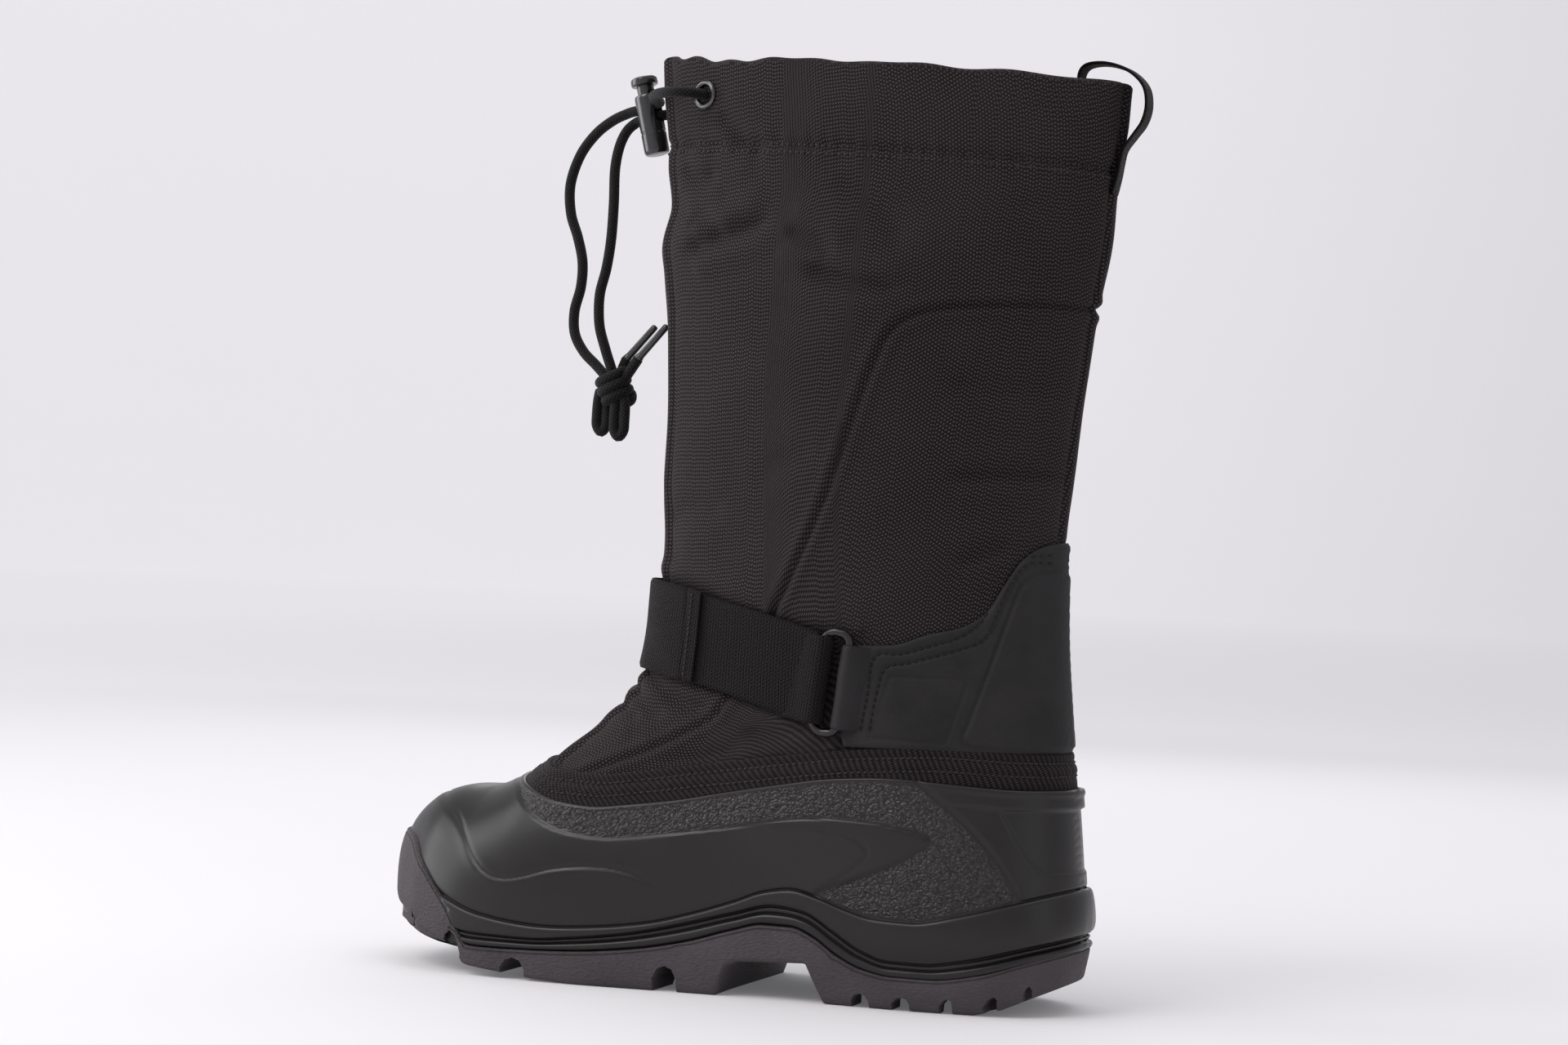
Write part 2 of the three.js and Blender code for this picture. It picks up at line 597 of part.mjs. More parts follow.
const FINISHES = {
  outsole: { color: 0x232325, roughness: 0.75, metalness: 0 },
  rubber_shell: { color: 0x2b2a2d, roughness: 0.5, metalness: 0 },
  upper: { color: 0x1b1a1c, roughness: 0.9, metalness: 0 },
  insole: { color: 0x3a3a3d, roughness: 0.95, metalness: 0 },
  heel_counter: { color: 0x242426, roughness: 0.6, metalness: 0 },
  ankle_strap: { color: 0x1d1c1e, roughness: 0.85, metalness: 0 },
  strap_ring: { color: 0x6a6a6e, roughness: 0.3, metalness: 1 },
  pull_loop: { color: 0x1d1c1e, roughness: 0.85, metalness: 0 },
  eyelet: { color: 0xa8a8aa, roughness: 0.3, metalness: 1 },
  cord_lock: { color: 0x0d0d0f, roughness: 0.2, metalness: 0 },
  drawcord: { color: 0x19191b, roughness: 0.9, metalness: 0 },
  cord_tip: { color: 0xb5b5b8, roughness: 0.25, metalness: 0.6 },
};

const boot = new THREE.Group();

function addPiece(name, body, finish) {
  const mesh = new THREE.Mesh(geometryOf(body), new THREE.MeshStandardMaterial(finish));
  mesh.name = name;
  boot.add(mesh);
}

addPiece('outsole', outsole(), FINISHES.outsole);
addPiece('rubber_shell', rubberShell(), FINISHES.rubber_shell);
addPiece('upper', upper(), FINISHES.upper);
addPiece('insole', insole(), FINISHES.insole);
addPiece('heel_counter', heelCounter(), FINISHES.heel_counter);
addPiece('ankle_strap', ankleStrap(), FINISHES.ankle_strap);
addPiece('strap_ring', ringOf(RING_WIRE), FINISHES.strap_ring);
addPiece('pull_loop', pullLoop(), FINISHES.pull_loop);

addPiece('eyelet_outer', eyelet(1), FINISHES.eyelet);
addPiece('eyelet_inner', eyelet(-1), FINISHES.eyelet);

// The origin is the middle of the base of the boot, which the free cord doesn't count in.
const box = new THREE.Box3().setFromObject(boot);
boot.position.set(-(box.min.x + box.max.x) / 2, -(box.min.y + box.max.y) / 2, -box.min.z);

addPiece('cord_lock_barrel', lockBarrel(), FINISHES.cord_lock);
addPiece('cord_lock_button', lockButton(), FINISHES.cord_lock);
for (const [name, stretch] of Object.entries(CORD_STRETCHES)) {
  addPiece(name, cord(stretch), FINISHES.drawcord);
}
addPiece('drawcord_knot', knot(), FINISHES.drawcord);
for (const [name, place] of Object.entries(AGLETS)) {
  addPiece(name, aglet(place), FINISHES.cord_tip);
}
boot.updateMatrixWorld(true);

export default boot;
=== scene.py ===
"""Snow boot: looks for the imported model, laid out as a Blender add-on and run as a script."""

import math

import bpy
import numpy as np
from bpy.props import FloatProperty, FloatVectorProperty, IntProperty, PointerProperty
from mathutils import Matrix, Vector
from mathutils.bvhtree import BVHTree


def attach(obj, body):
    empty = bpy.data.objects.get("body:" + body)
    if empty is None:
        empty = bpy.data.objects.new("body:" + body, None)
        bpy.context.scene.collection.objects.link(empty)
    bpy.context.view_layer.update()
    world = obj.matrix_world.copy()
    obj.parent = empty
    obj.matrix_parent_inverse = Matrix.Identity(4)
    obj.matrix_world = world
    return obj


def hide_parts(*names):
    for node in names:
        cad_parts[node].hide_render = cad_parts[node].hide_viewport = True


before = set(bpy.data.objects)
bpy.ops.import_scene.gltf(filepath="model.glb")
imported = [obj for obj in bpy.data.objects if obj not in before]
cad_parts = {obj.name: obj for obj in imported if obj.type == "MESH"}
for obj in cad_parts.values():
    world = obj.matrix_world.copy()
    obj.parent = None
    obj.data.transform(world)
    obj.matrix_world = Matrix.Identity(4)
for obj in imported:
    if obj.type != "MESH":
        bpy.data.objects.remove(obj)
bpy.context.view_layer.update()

bl_info = {
    "name": "Snow boot",
    "version": (1, 0, 0),
    "blender": (4, 5, 0),
    "location": "View3D > Sidebar > Boot",
    "description": "Builds a snow boot's fabric, rubber, webbing and cord around its packed model",
    "category": "Add Mesh",
}

# ---------------------------------------------------------------------------------------
# Sizes. Lines and tables are in the boot's own millimetres: x from the back of the heel to
# the toe, y towards the outer side, z up from the ground.
# ---------------------------------------------------------------------------------------

MM = 0.001
ORIGIN = np.array([158.05, 1.72, 0.0])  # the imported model's origin in the boot's millimetres
BODY, LOCK_BODY = "boot", "lock_button"

# One row for each section of the last's form, from the toe back to the heel and up the shaft:
# bottom x, z, top x, z, half width outside, inside, widest share, roundness low, high.
FORM_ROWS = np.array([
    (307.5, 20, 312, 45, 6, 15, .5, 3, 2.2), (306.5, 11, 309.5, 55, 15.5, 25, .45, 4, 2.2),
    (303.5, 5, 304.5, 63, 24.5, 33, .42, 5, 2.3), (297.5, 1, 296, 70, 33, 40, .4, 6, 2.4),
    (289, -2, 285, 74, 42, 45, .38, 7, 2.4), (274, -2, 268, 76, 49, 48, .36, 7, 2.3),
    (254, -2, 252, 85, 52.5, 49.5, .34, 8, 2.2), (232, -2, 239, 98, 53, 49.5, .32, 8, 2.1),
    (208, -2, 227, 108, 52, 47.5, .31, 8, 2), (182, -2, 215, 120, 49, 44.5, .31, 8, 1.95),
    (154, -2, 207, 131, 46, 42, .33, 8, 1.9), (126, -2, 203, 143, 44, 41, .36, 8, 1.9),
    (98, -2, 201.5, 154, 43.5, 41.5, .4, 7, 1.85), (70, -2, 201, 165, 44.5, 43, .44, 6, 1.85),
    (44, -2, 201, 175, 45.5, 44, .47, 4.5, 1.8), (19, 1, 201, 185, 46, 44.5, .48, 3.2, 1.8),
    (9, 26, 201, 195, 46, 45, .49, 2.5, 1.8), (10.5, 58, 201.5, 206, 46, 45, .5, 2.2, 1.8),
    (14, 92, 202, 217, 46, 45, .5, 2.05, 1.75), (18, 124, 202.5, 229, 45.5, 45, .5, 1.95, 1.75),
    (21, 158, 203, 243, 45.5, 45, .5, 1.85, 1.75), (22, 190, 203.5, 258, 45.5, 45, .5, 1.8, 1.75),
    (21, 222, 204.5, 275, 45.5, 45, .5, 1.75, 1.75), (18, 255, 205.5, 293, 45, 45, .5, 1.75, 1.75),
    (13.5, 288, 207, 311, 45, 45, .5, 1.75, 1.75), (9.5, 318, 208, 328, 45, 45, .5, 1.75, 1.75),
    (8, 342, 206.5, 345, 44, 44, .5, 1.75, 1.75), (6, 362, 208.5, 365, 43.5, 43.5, .5, 1.75, 1.75),
    (2.5, 389, 212, 397, 43, 43, .5, 1.75, 1.75),
])
LAST_ROW = len(FORM_ROWS) - 1

# Side lines: [x, z] from the toe back to the heel.
SHELL_TOP = [(345, 115), (285, 112), (264, 90), (254, 82), (243, 78.5), (229, 74.5), (213, 73.5),
             (197, 75.5), (176, 79), (150, 85), (126, 90), (103, 94), (80, 95.5), (55, 94.5),
             (27, 93), (-30, 93)]
BEAD_TOP = [(340, 62), (312, 50), (300, 44), (288, 38), (274, 31.5), (258, 26.5), (228, 23.5),
            (204, 25), (183, 28), (163, 33.5), (146, 39.5), (132, 45), (120, 47), (108, 44.5),
            (97, 41), (84, 38), (68, 37.5), (50, 41), (29, 47), (-30, 63)]
BEAD_BOTTOM = [(340, 45), (300, 29), (276, 20), (258, 18), (235, 18), (214, 20), (193, 23),
               (173, 27.5), (146, 35), (128, 39.5), (114, 38), (101, 31), (89, 24), (77, 20.5),
               (64, 20.5), (46, 23), (23, 29), (-30, 45)]
OUTSOLE_TOP = [(340, 30), (320, 25), (298, 19), (276, 14.5), (258, 12.5), (235, 13), (214, 14),
               (190, 16.5), (165, 21.5), (146, 27.5), (132, 31), (120, 31), (110, 27.5),
               (99, 20.5), (88, 16), (75, 14), (60, 14), (40, 17), (20, 23.5), (-30, 38)]
BUMPER_TOP = [(340, 57), (314, 57), (304, 56), (301, 54.5), (295, 48.5), (285, 39), (274.5, 28),
              (267, 17), (263, 12.5), (235, 11), (-30, 11)]
GROUND_LINE = [(340, 35), (314, 27.5), (302, 23.5), (296, 21), (290, 18.5), (280, 15), (273, 13),
               (268.5, 12), (265.5, 5), (262, 4), (247, 2.6), (233, 1), (214, 0), (151.5, 0),
               (148, 12.5), (143, 15), (113, 16.5), (105, 0), (42, 0), (30, 3), (15, 9.5), (4, 14),
               (-30, 30)]
GAITER_TOP = [(345, 130), (290, 126), (270, 106), (258, 99), (247, 93), (232, 88), (213, 88),
              (192, 91), (165, 96), (127, 102.5), (91, 107.5), (57, 109.5), (27, 108.5),
              (-30, 108.5)]
COUNTER_TOP = [(130, 150), (97, 150.5), (82, 151.5), (70, 156), (53, 161.5), (47, 166.5),
               (41, 178), (35, 189), (28, 195), (20, 197.5), (-30, 198.5)]
COUNTER_BOTTOM = [(130, 108), (60, 108), (-30, 109)]
STRAP_TOP = [(260, 177), (215, 173.5), (190, 171), (165, 167), (141, 162), (111, 154.5), (90, 148)]
STRAP_BOTTOM = [(260, 138), (215, 135), (189, 132), (169, 129.3), (139, 122.3), (115, 116),
                (90, 108.5)]


# ---------------------------------------------------------------------------------------
# The form and the grids that are laid on it
# ---------------------------------------------------------------------------------------

def side_line(points):
    """A smooth height over x through [x, z] points, with no overshoot between them."""
    x, z = np.array(sorted(points), float).T
    run, slope = np.diff(x), np.diff(z) / np.diff(x)
    same = slope[:-1] * slope[1:] > 0
    both = np.where(same, slope[:-1] * slope[1:], 0)
    inner = both * (run[:-1] + run[1:]) / np.where(
        same, run[:-1] * slope[:-1] + run[1:] * slope[1:], 1)
    tangent = np.concatenate([[slope[0]], inner, [slope[-1]]])

    def height(at):
        at = np.clip(at, x[0], x[-1])
        i = np.clip(np.searchsorted(x, at) - 1, 0, len(run) - 1)
        t = (at - x[i]) / run[i]
        return ((1 + 2 * t) * (1 - t) ** 2 * z[i] + t * (1 - t) ** 2 * run[i] * tangent[i]
                + t * t * (3 - 2 * t) * z[i + 1] + t * t * (t - 1) * run[i] * tangent[i + 1])
    return height


def between(low, high, share):
    return lambda at: low(at) * (1 - share) + high(at) * share


def raised(line, by):
    return lambda at: line(at) + by


def form_rows_at(u):
    """Rows of FORM_ROWS interpolated smoothly at the section numbers u."""
    u = np.clip(u, 0, LAST_ROW)
    i = np.minimum(u.astype(int), LAST_ROW - 1)
    t = (u - i)[..., None]
    a, b, c, d = (FORM_ROWS[np.clip(i + k, 0, LAST_ROW)] for k in (-1, 0, 1, 2))
    return b + 0.5 * t * (c - a + t * (2 * a - 5 * b + 4 * c - d + t * (3 * (b - c) + d - a)))


def form_points(u, v):
    """Points of the form at section u and angle v: 0 is the bottom or the back, pi the top."""
    u, v = np.broadcast_arrays(np.asarray(u, float), np.asarray(v, float))
    row = form_rows_at(u)
    lift, side = -np.cos(v), np.sin(v)
    power = np.where(lift < 0, row[..., 7], row[..., 8])
    size = (np.abs(lift) ** power + np.abs(side) ** power) ** (-1 / power)
    end = np.where(lift[..., None] < 0, row[..., 0:2], row[..., 2:4])
    waist = row[..., 0:2] + (row[..., 2:4] - row[..., 0:2]) * row[..., 6:7]
    xz = waist + (end - waist) * (np.abs(lift) * size)[..., None]
    width = np.where(side > 0, row[..., 4], row[..., 5])
    return np.stack([xz[..., 0], side * size * width, xz[..., 1]], -1)


SECTION_STEPS, ANGLE_STEPS = 1121, 161
SIDE_GRIDS = {side: form_points(np.linspace(0, LAST_ROW, SECTION_STEPS)[:, None],
                                side * np.linspace(0, math.pi, ANGLE_STEPS)[None, :])
              for side in (1, -1)}


def side_curve(line, side):
    """The form's points on a side line, from the toe back to the heel, on one side."""
    grid = SIDE_GRIDS[side]
    over = grid[..., 2] - line(grid[..., 0])
    crosses = (over[:, :-1] < 0) & (over[:, 1:] >= 0)
    rows = np.nonzero(crosses.any(1))[0]
    at = crosses.argmax(1)[rows]
    a, b = over[rows, at], over[rows, at + 1]
    points = grid[rows, at] + (grid[rows, at + 1] - grid[rows, at]) * (a / (a - b))[:, None]
    for row, step, column in ((rows[0], -1, -1), (rows[-1], 1, 0)):
        if 0 <= row + step < SECTION_STEPS:
            a, b = over[row, column], over[row + step, column]
            share = np.clip(a / (a - b), 0, 1) if a != b else 0
            end = grid[row, column] + (grid[row + step, column] - grid[row, column]) * share
            points = np.vstack([end, points] if step < 0 else [points, end])
    return points


def lengths_along(points):
    steps = np.linalg.norm(np.diff(points, axis=0), axis=-1)
    return np.concatenate([np.zeros((1,) + steps.shape[1:]), np.cumsum(steps, axis=0)])


def resampled(points, count):
    """count + 1 points at even distances along a polyline."""
    along = lengths_along(points)
    at = np.linspace(0, along[-1], count + 1)
    return np.stack([np.interp(at, along, points[:, k]) for k in range(3)], 1)


TIP_BULGE = 0.8


def loop_row(line, count):
    """A closed row round the foot: heel, outer side, toe, inner side. 2 * count points."""
    outer, inner = side_curve(line, 1)[::-1], side_curve(line, -1)
    tip = (outer[-1] + inner[0]) / 2
    if outer[-1][1] > 0.5:
        tip[0] += TIP_BULGE
        outer, inner = np.vstack([outer, tip]), np.vstack([tip, inner])
    row = np.vstack([resampled(outer, count)[:-1], resampled(inner, count)[:-1]])
    for _ in range(2):
        row = row * 0.5 + (np.roll(row, 1, 0) + np.roll(row, -1, 0)) * 0.25
    return row


def grid_normals(grid, closed):
    """Outward normals of a grid whose rows go up and whose columns go round by the outer side."""
    up = np.gradient(grid, axis=0)
    if closed:
        along = np.roll(grid, -1, 1) - np.roll(grid, 1, 1)
    else:
        along = np.gradient(grid, axis=1)
    normal = np.cross(up, along)
    return normal / np.maximum(np.linalg.norm(normal, axis=-1, keepdims=True), 1e-9)


def smoothstep(value, low, high):
    t = np.clip((value - low) / (high - low), 0, 1)
    return t * t * (3 - 2 * t)


def distance_to_line(x, z, points):
    """Distance in the side view to an open polyline, and the share of the way along it."""
    points = np.array(points, float)
    best, where, done = np.full(x.shape, 1e9), np.zeros(x.shape), 0.0
    total = np.linalg.norm(np.diff(points, axis=0), axis=1).sum()
    for a, b in zip(points[:-1], points[1:]):
        step = b - a
        length = np.linalg.norm(step)
        t = np.clip(((x - a[0]) * step[0] + (z - a[1]) * step[1]) / length ** 2, 0, 1)
        d = np.hypot(x - a[0] - t * step[0], z - a[1] - t * step[1])
        where = np.where(d < best, (done + t * length) / total, where)
        best = np.minimum(best, d)
        done += length
    return best, where


def inside_outline(x, z, points):
    """True where a point of the side view lies inside a closed outline."""
    points = np.array(points, float)
    found = np.zeros(x.shape, bool)
    for (ax, az), (bx, bz) in zip(points, np.roll(points, -1, 0)):
        if az != bz:
            found ^= ((az > z) != (bz > z)) & (x < (bx - ax) * (z - az) / (bz - az) + ax)
    return found


def signed_outline(x, z, points):
    """Distance to a closed outline in the side view, positive inside."""
    d, _ = distance_to_line(x, z, list(points) + [points[0]])
    return np.where(inside_outline(x, z, points), d, -d)


def curved(points, per_step=6):
    """More points on a smooth side line through a few."""
    p = np.array(points, float)
    p = np.vstack([2 * p[0] - p[1], p, 2 * p[-1] - p[-2]])
    out = []
    for i in range(1, len(p) - 2):
        for t in np.arange(per_step) / per_step:
            a, b, c, d = p[i - 1:i + 3]
            out.append(b + 0.5 * t * (c - a + t * (2 * a - 5 * b + 4 * c - d
                                                   + t * (3 * (b - c) + d - a))))
    return np.array(out + [p[-2]])


# ---------------------------------------------------------------------------------------
# Meshes
# ---------------------------------------------------------------------------------------

def to_frame(points):
    return (np.asarray(points, float) - ORIGIN) * MM


def new_mesh(name, points, faces, uvs=None, values=None, smooth=True):
    """An object from points in the boot's millimetres. uvs are per corner, values per point."""
    mesh = bpy.data.meshes.new(name)
    mesh.from_pydata(to_frame(points).tolist(), [],
                     faces if isinstance(faces, list) else faces.tolist())
    if uvs is not None:
        layer = mesh.uv_layers.new(name="cloth")
        layer.data.foreach_set("uv", np.asarray(uvs, np.float32).ravel())
    for key, data in (values or {}).items():
        mesh.attributes.new(key, "FLOAT", "POINT").data.foreach_set(
            "value", np.asarray(data, np.float32).ravel())
    mesh.polygons.foreach_set("use_smooth", [smooth] * len(mesh.polygons))
    mesh.update()
    piece = bpy.data.objects.new(name, mesh)
    bpy.context.scene.collection.objects.link(piece)
    return piece


def grid_faces(rows, columns, close_rows, close_columns, offset=0):
    """Quads over a grid of points, and each corner's own row and column for its UV."""
    r = np.arange(rows if close_rows else rows - 1)
    c = np.arange(columns if close_columns else columns - 1)
    r, c = (a.ravel() for a in np.meshgrid(r, c, indexing="ij"))
    corners = [(r, c), (r + 1, c), (r + 1, c + 1), (r, c + 1)]
    faces = np.stack([offset + (a % rows) * columns + b % columns for a, b in corners], 1)
    return faces, np.stack([np.stack(pair, 1) for pair in corners], 1)


def ring_piece(name, rings, uv_grid=None, values=None):
    """A closed solid whose cross-section is a loop of rows: rings is loops x columns x 3."""
    rows, columns, _ = rings.shape
    faces, at = grid_faces(rows, columns, True, True)
    uvs = None
    if uv_grid is not None:
        uvs = uv_grid[np.minimum(at[..., 0], rows - 1), at[..., 1]]
    return new_mesh(name, rings.reshape(-1, 3), faces, uvs,
                    {k: v.reshape(-1) for k, v in (values or {}).items()})


def uv_of(grid, closed):
    """UV in millimetres: along each row from its middle, and up each column."""
    wide = np.concatenate([grid, grid[:, :1]], 1) if closed else grid
    along = lengths_along(wide.transpose(1, 0, 2)).T
    up = lengths_along(wide)
    along = along - along[:, along.shape[1] // 2][:, None]
    return np.stack([along, up], -1)


def slab_piece(name, front, back, uv_grid):
    """A closed sheet between two grids of the same shape."""
    rings = np.concatenate([front, back[::-1]], 0)
    rows, columns, _ = rings.shape
    faces, at = grid_faces(rows, columns, True, False)
    faces = faces.tolist()
    both = np.concatenate([uv_grid, uv_grid[::-1]], 0)
    uvs = both[np.minimum(at[..., 0], rows - 1), at[..., 1]].reshape(-1, 2).tolist()
    for column, turn in ((0, 1), (columns - 1, -1)):
        for r in range(rows // 2 - 1):
            quad = [r, r + 1, rows - 2 - r, rows - 1 - r][::-turn]
            faces.append([q * columns + column for q in quad])
            uvs += [uvs[0]] * 4
    return new_mesh(name, rings.reshape(-1, 3), faces, uvs)


def finish_piece(piece, material, replaces=(), body=BODY, creased=None):
    piece.data.materials.clear()
    piece.data.materials.append(material)
    if creased is not None:
        select_only(piece)
        bpy.ops.object.shade_smooth_by_angle(angle=math.radians(creased))
    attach(piece, body)
    if replaces:
        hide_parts(*replaces)
    return piece


def select_only(piece):
    bpy.ops.object.select_all(action="DESELECT")
    piece.select_set(True)
    bpy.context.view_layer.objects.active = piece


def apply_modifier(piece, kind, **settings):
    select_only(piece)
    modifier = piece.modifiers.new(kind.title(), kind)
    for key, value in settings.items():
        setattr(modifier, key, value)
    bpy.ops.object.modifier_apply(modifier=modifier.name)


def outwards(piece, first=lambda: None):
    """Normals pointed out, after a first step in edit mode and after doubled points are merged."""
    select_only(piece)
    bpy.ops.object.mode_set(mode="EDIT")
    bpy.ops.mesh.select_all(action="SELECT")
    first()
    bpy.ops.mesh.remove_doubles(threshold=1e-6)
    bpy.ops.mesh.normals_make_consistent(inside=False)
    bpy.ops.object.mode_set(mode="OBJECT")


def surface_tree(piece):
    mesh = piece.data
    return BVHTree.FromPolygons([v.co for v in mesh.vertices], [p.vertices for p in mesh.polygons])


# ---------------------------------------------------------------------------------------
# Materials
# ---------------------------------------------------------------------------------------

class Finish:
    """A material whose nodes are added one call at a time; inputs are values or sockets."""

    def __init__(self, name, **sockets):
        self.material = bpy.data.materials.new(name)
        self.material.use_nodes = True
        self.nodes, self.links = self.material.node_tree.nodes, self.material.node_tree.links
        self.shader = self.nodes["Principled BSDF"]
        for key, value in sockets.items():
            self.put(self.shader.inputs[key.replace("_", " ")], value)

    def put(self, socket, value):
        if isinstance(value, bpy.types.NodeSocket):
            self.links.new(value, socket)
        else:
            socket.default_value = value

    def add(self, kind, out, inputs=None, **settings):
        node = self.nodes.new("ShaderNode" + kind)
        for key, value in settings.items():
            setattr(node, key, value)
        for key, value in (inputs or {}).items():
            self.put(node.inputs[key], value)
        return node.outputs[out]

    def math(self, operation, a, b=0.0, c=0.0):
        return self.add("Math", 0, {0: a, 1: b, 2: c}, operation=operation)

    def noise(self, vector, scale, detail=2.0, rough=0.5, out=0):
        return self.add("TexNoise", out, {"Vector": vector, "Scale": scale, "Detail": detail,
                                          "Roughness": rough})

    def remap(self, value, low, high, to_low=0, to_high=1):
        return self.add("MapRange", 0, {0: value, 1: low, 2: high, 3: to_low, 4: to_high},
                        clamp=True)

    def tint(self, value, color, low, high):
        """The colour times low where the value is 0, and times high where it is 1."""
        dark, light = ((*(c * share for c in color), 1) for share in (low, high))
        return self.add("MixRGB", 0, {0: value, 1: dark, 2: light})

    def stretched(self, vector, scale, turn=(0, 0, 0)):
        return self.add("Mapping", 0, {"Vector": vector, "Rotation": turn, "Scale": scale})

    def place(self):
        return self.add("TexCoord", "Object")

    def cloth(self):
        """The piece's own UV map in millimetres: x along it and y up it."""
        uv = self.add("UVMap", 0, uv_map="cloth")
        split = self.nodes.new("ShaderNodeSeparateXYZ")
        self.links.new(uv, split.inputs[0])
        return uv, split.outputs[0], split.outputs[1]

    def value(self, name):
        return self.add("Attribute", "Fac", attribute_name=name)

    def bump(self, height, distance, strength=1.0, normal=None):
        inputs = {"Height": height, "Distance": distance, "Strength": strength}
        if normal is not None:
            inputs["Normal"] = normal
        return self.add("Bump", 0, inputs)

    def finish(self, color=None, rough=None, normal=None):
        for key, value in (("Base Color", color), ("Roughness", rough), ("Normal", normal)):
            if value is not None:
                self.put(self.shader.inputs[key], value)
        return self.material


WEAVE_SQUASH = 0.65  # the threads lie closer together up the cloth than along it


def woven(f, along, up, pitch, under=0.2):
    """Height and painted light of a plain weave: painted shade in the gaps, and the threads along
    it painted lighter than those up it.
    """
    x, y = (f.math("MULTIPLY", along, math.pi / pitch),
            f.math("MULTIPLY", up, math.pi / pitch / WEAVE_SQUASH))
    a, b = f.math("SINE", x), f.math("SINE", y)
    crown_a, crown_b = f.math("ABSOLUTE", a), f.math("ABSOLUTE", b)
    over = f.math("GREATER_THAN", f.math("MULTIPLY", a, b), 0.0)
    warp = f.math("MULTIPLY", crown_a, f.math("POWER", crown_b, 0.35))
    weft = f.math("MULTIPLY", crown_b, f.math("POWER", crown_a, 0.35))
    height = f.add("Mix", 0, {0: over, 2: weft, 3: warp})
    # The second value is painted light: dark in the gaps between threads, and dimmed on one set of
    # threads.
    return height, f.math("MULTIPLY", height, f.math("MULTIPLY_ADD", over, 1 - under, under))


def nylon_finish(name, color, pitch, depth=0.00022):
    f = Finish(name, Roughness=0.7, Sheen_Weight=0.03, Sheen_Roughness=0.5,
               Specular_IOR_Level=0.09)
    uv, along, up = f.cloth()
    place = f.place()
    wobble = f.noise(uv, 0.35, 2)
    along = f.math("ADD", along, f.math("MULTIPLY", wobble, 0.15))
    weave, painted_weave_shade = woven(f, along, up, pitch)
    slub = f.noise(f.stretched(uv, (0.04, 1.1, 1)), 1.0, 3)
    cloud = f.noise(place, 18, 3)
    # Colour: the weave's painted shade and sheen, plus slub and clouds of the cloth's own uneven
    # tone.
    shade = f.math("MULTIPLY_ADD", painted_weave_shade, 0.8, f.math("MULTIPLY", slub, 0.12))
    shade = f.math("ADD", shade, f.math("MULTIPLY", cloud, 0.2))
    rough = f.remap(f.math("ADD", cloud, slub), 0.6, 1.4, 0.55, 0.75)
    relief = f.bump(weave, depth, 0.9)
    soft = f.bump(f.noise(place, 45, 2), 0.0006, 0.35, relief)
    return f.finish(f.tint(f.remap(shade, 0.16, 0.8), color, 0.02, 4.2), rough, soft)


def webbing_finish(name, color, rib, cross):
    """Ribbed webbing: rounded ribs across it, with a finer thread along them."""
    f = Finish(name, Roughness=0.6, Sheen_Weight=0.03, Sheen_Roughness=0.4,
               Specular_IOR_Level=0.1)
    _, along, up = f.cloth()
    ribs = f.math("ABSOLUTE", f.math("SINE", f.math("MULTIPLY", along, math.pi / rib)))
    _, painted_weave_shade = woven(f, f.math("MULTIPLY", along, cross / rib * 1.5), up, cross, 0.1)
    height = f.math("MULTIPLY_ADD", painted_weave_shade, 0.9, f.math("MULTIPLY", f.math("POWER", ribs, 0.6), 0.6))
    fuzz = f.noise(f.place(), 900, 2)
    # Painted shade: the colour follows the ribs' and threads' height, dark in the grooves and light
    # on the crowns; the fuzz is real tone.
    shade = f.remap(f.math("ADD", height, f.math("MULTIPLY", fuzz, 0.4)), 0.3, 1.6, 0, 1)
    relief = f.bump(f.math("MULTIPLY_ADD", fuzz, 0.15, height), 0.0005, 1.0)
    rough = f.remap(fuzz, 0.3, 0.7, 0.5, 0.72)
    return f.finish(f.tint(shade, color, 0.02, 4.4), rough, relief)


def rubber_finish(name, color, rough_low, rough_high, pebbled=True):
    """Moulded rubber: a faint mottle, dust, small scuffs, and leather-like pebbles where marked,
    with painted highlights on their tops.
    """
    f = Finish(name, Specular_IOR_Level=0.4)
    place = f.place()
    mottle = f.noise(place, 22, 4, 0.55)
    fine = f.noise(place, 1400, 2)
    dust = f.remap(f.noise(place, 320, 3, 0.7), 0.66, 0.72, 0, 1)
    scuffs = f.stretched(place, (60, 900, 300), (0.3, 0.2, 0.5))
    scuffs = f.remap(f.noise(scuffs, 1.0, 2), 0.72, 0.78, 0, 1)
    marks = f.math("MAXIMUM", f.math("MULTIPLY", dust, 0.25), f.math("MULTIPLY", scuffs, 0.22))
    normal = f.bump(fine, 0.00004, 0.6)
    shade = f.math("MULTIPLY_ADD", mottle, 0.5, f.math("MULTIPLY", marks, 0.6))
    rough = f.remap(f.math("ADD", mottle, marks), 0.35, 0.9, rough_low, rough_high)
    if pebbled:
        area = f.value("pebble")
        bent = f.add("MixRGB", 0, {0: 0.004, 1: place, 2: f.noise(place, 260, 2, out=1)})
        stretched = f.stretched(bent, (1, 1, 1.35))
        cells = f.add("TexVoronoi", "Distance", {"Vector": stretched, "Scale": 640.0,
                                                  "Smoothness": 0.35}, feature="SMOOTH_F1")
        veins = f.noise(stretched, 520, 2)
        grain = f.math("MULTIPLY_ADD", veins, -0.4, cells)
        height = f.math("MULTIPLY", grain, area)
        normal = f.bump(height, -0.0009, 1.0, normal)
        # Painted highlight: the pebbles' tops, and the pebbled area with them, are lightened in
        # colour.
        painted_pebble_highlight = f.math("MULTIPLY", f.remap(grain, 0.0, 0.45, 1, 0), area)
        shade = f.math("ADD", shade, f.math("MULTIPLY", painted_pebble_highlight, 1.9))
    return f.finish(f.tint(f.remap(shade, 0.1, 2.65), color, 0.7, 4.6), rough, normal)


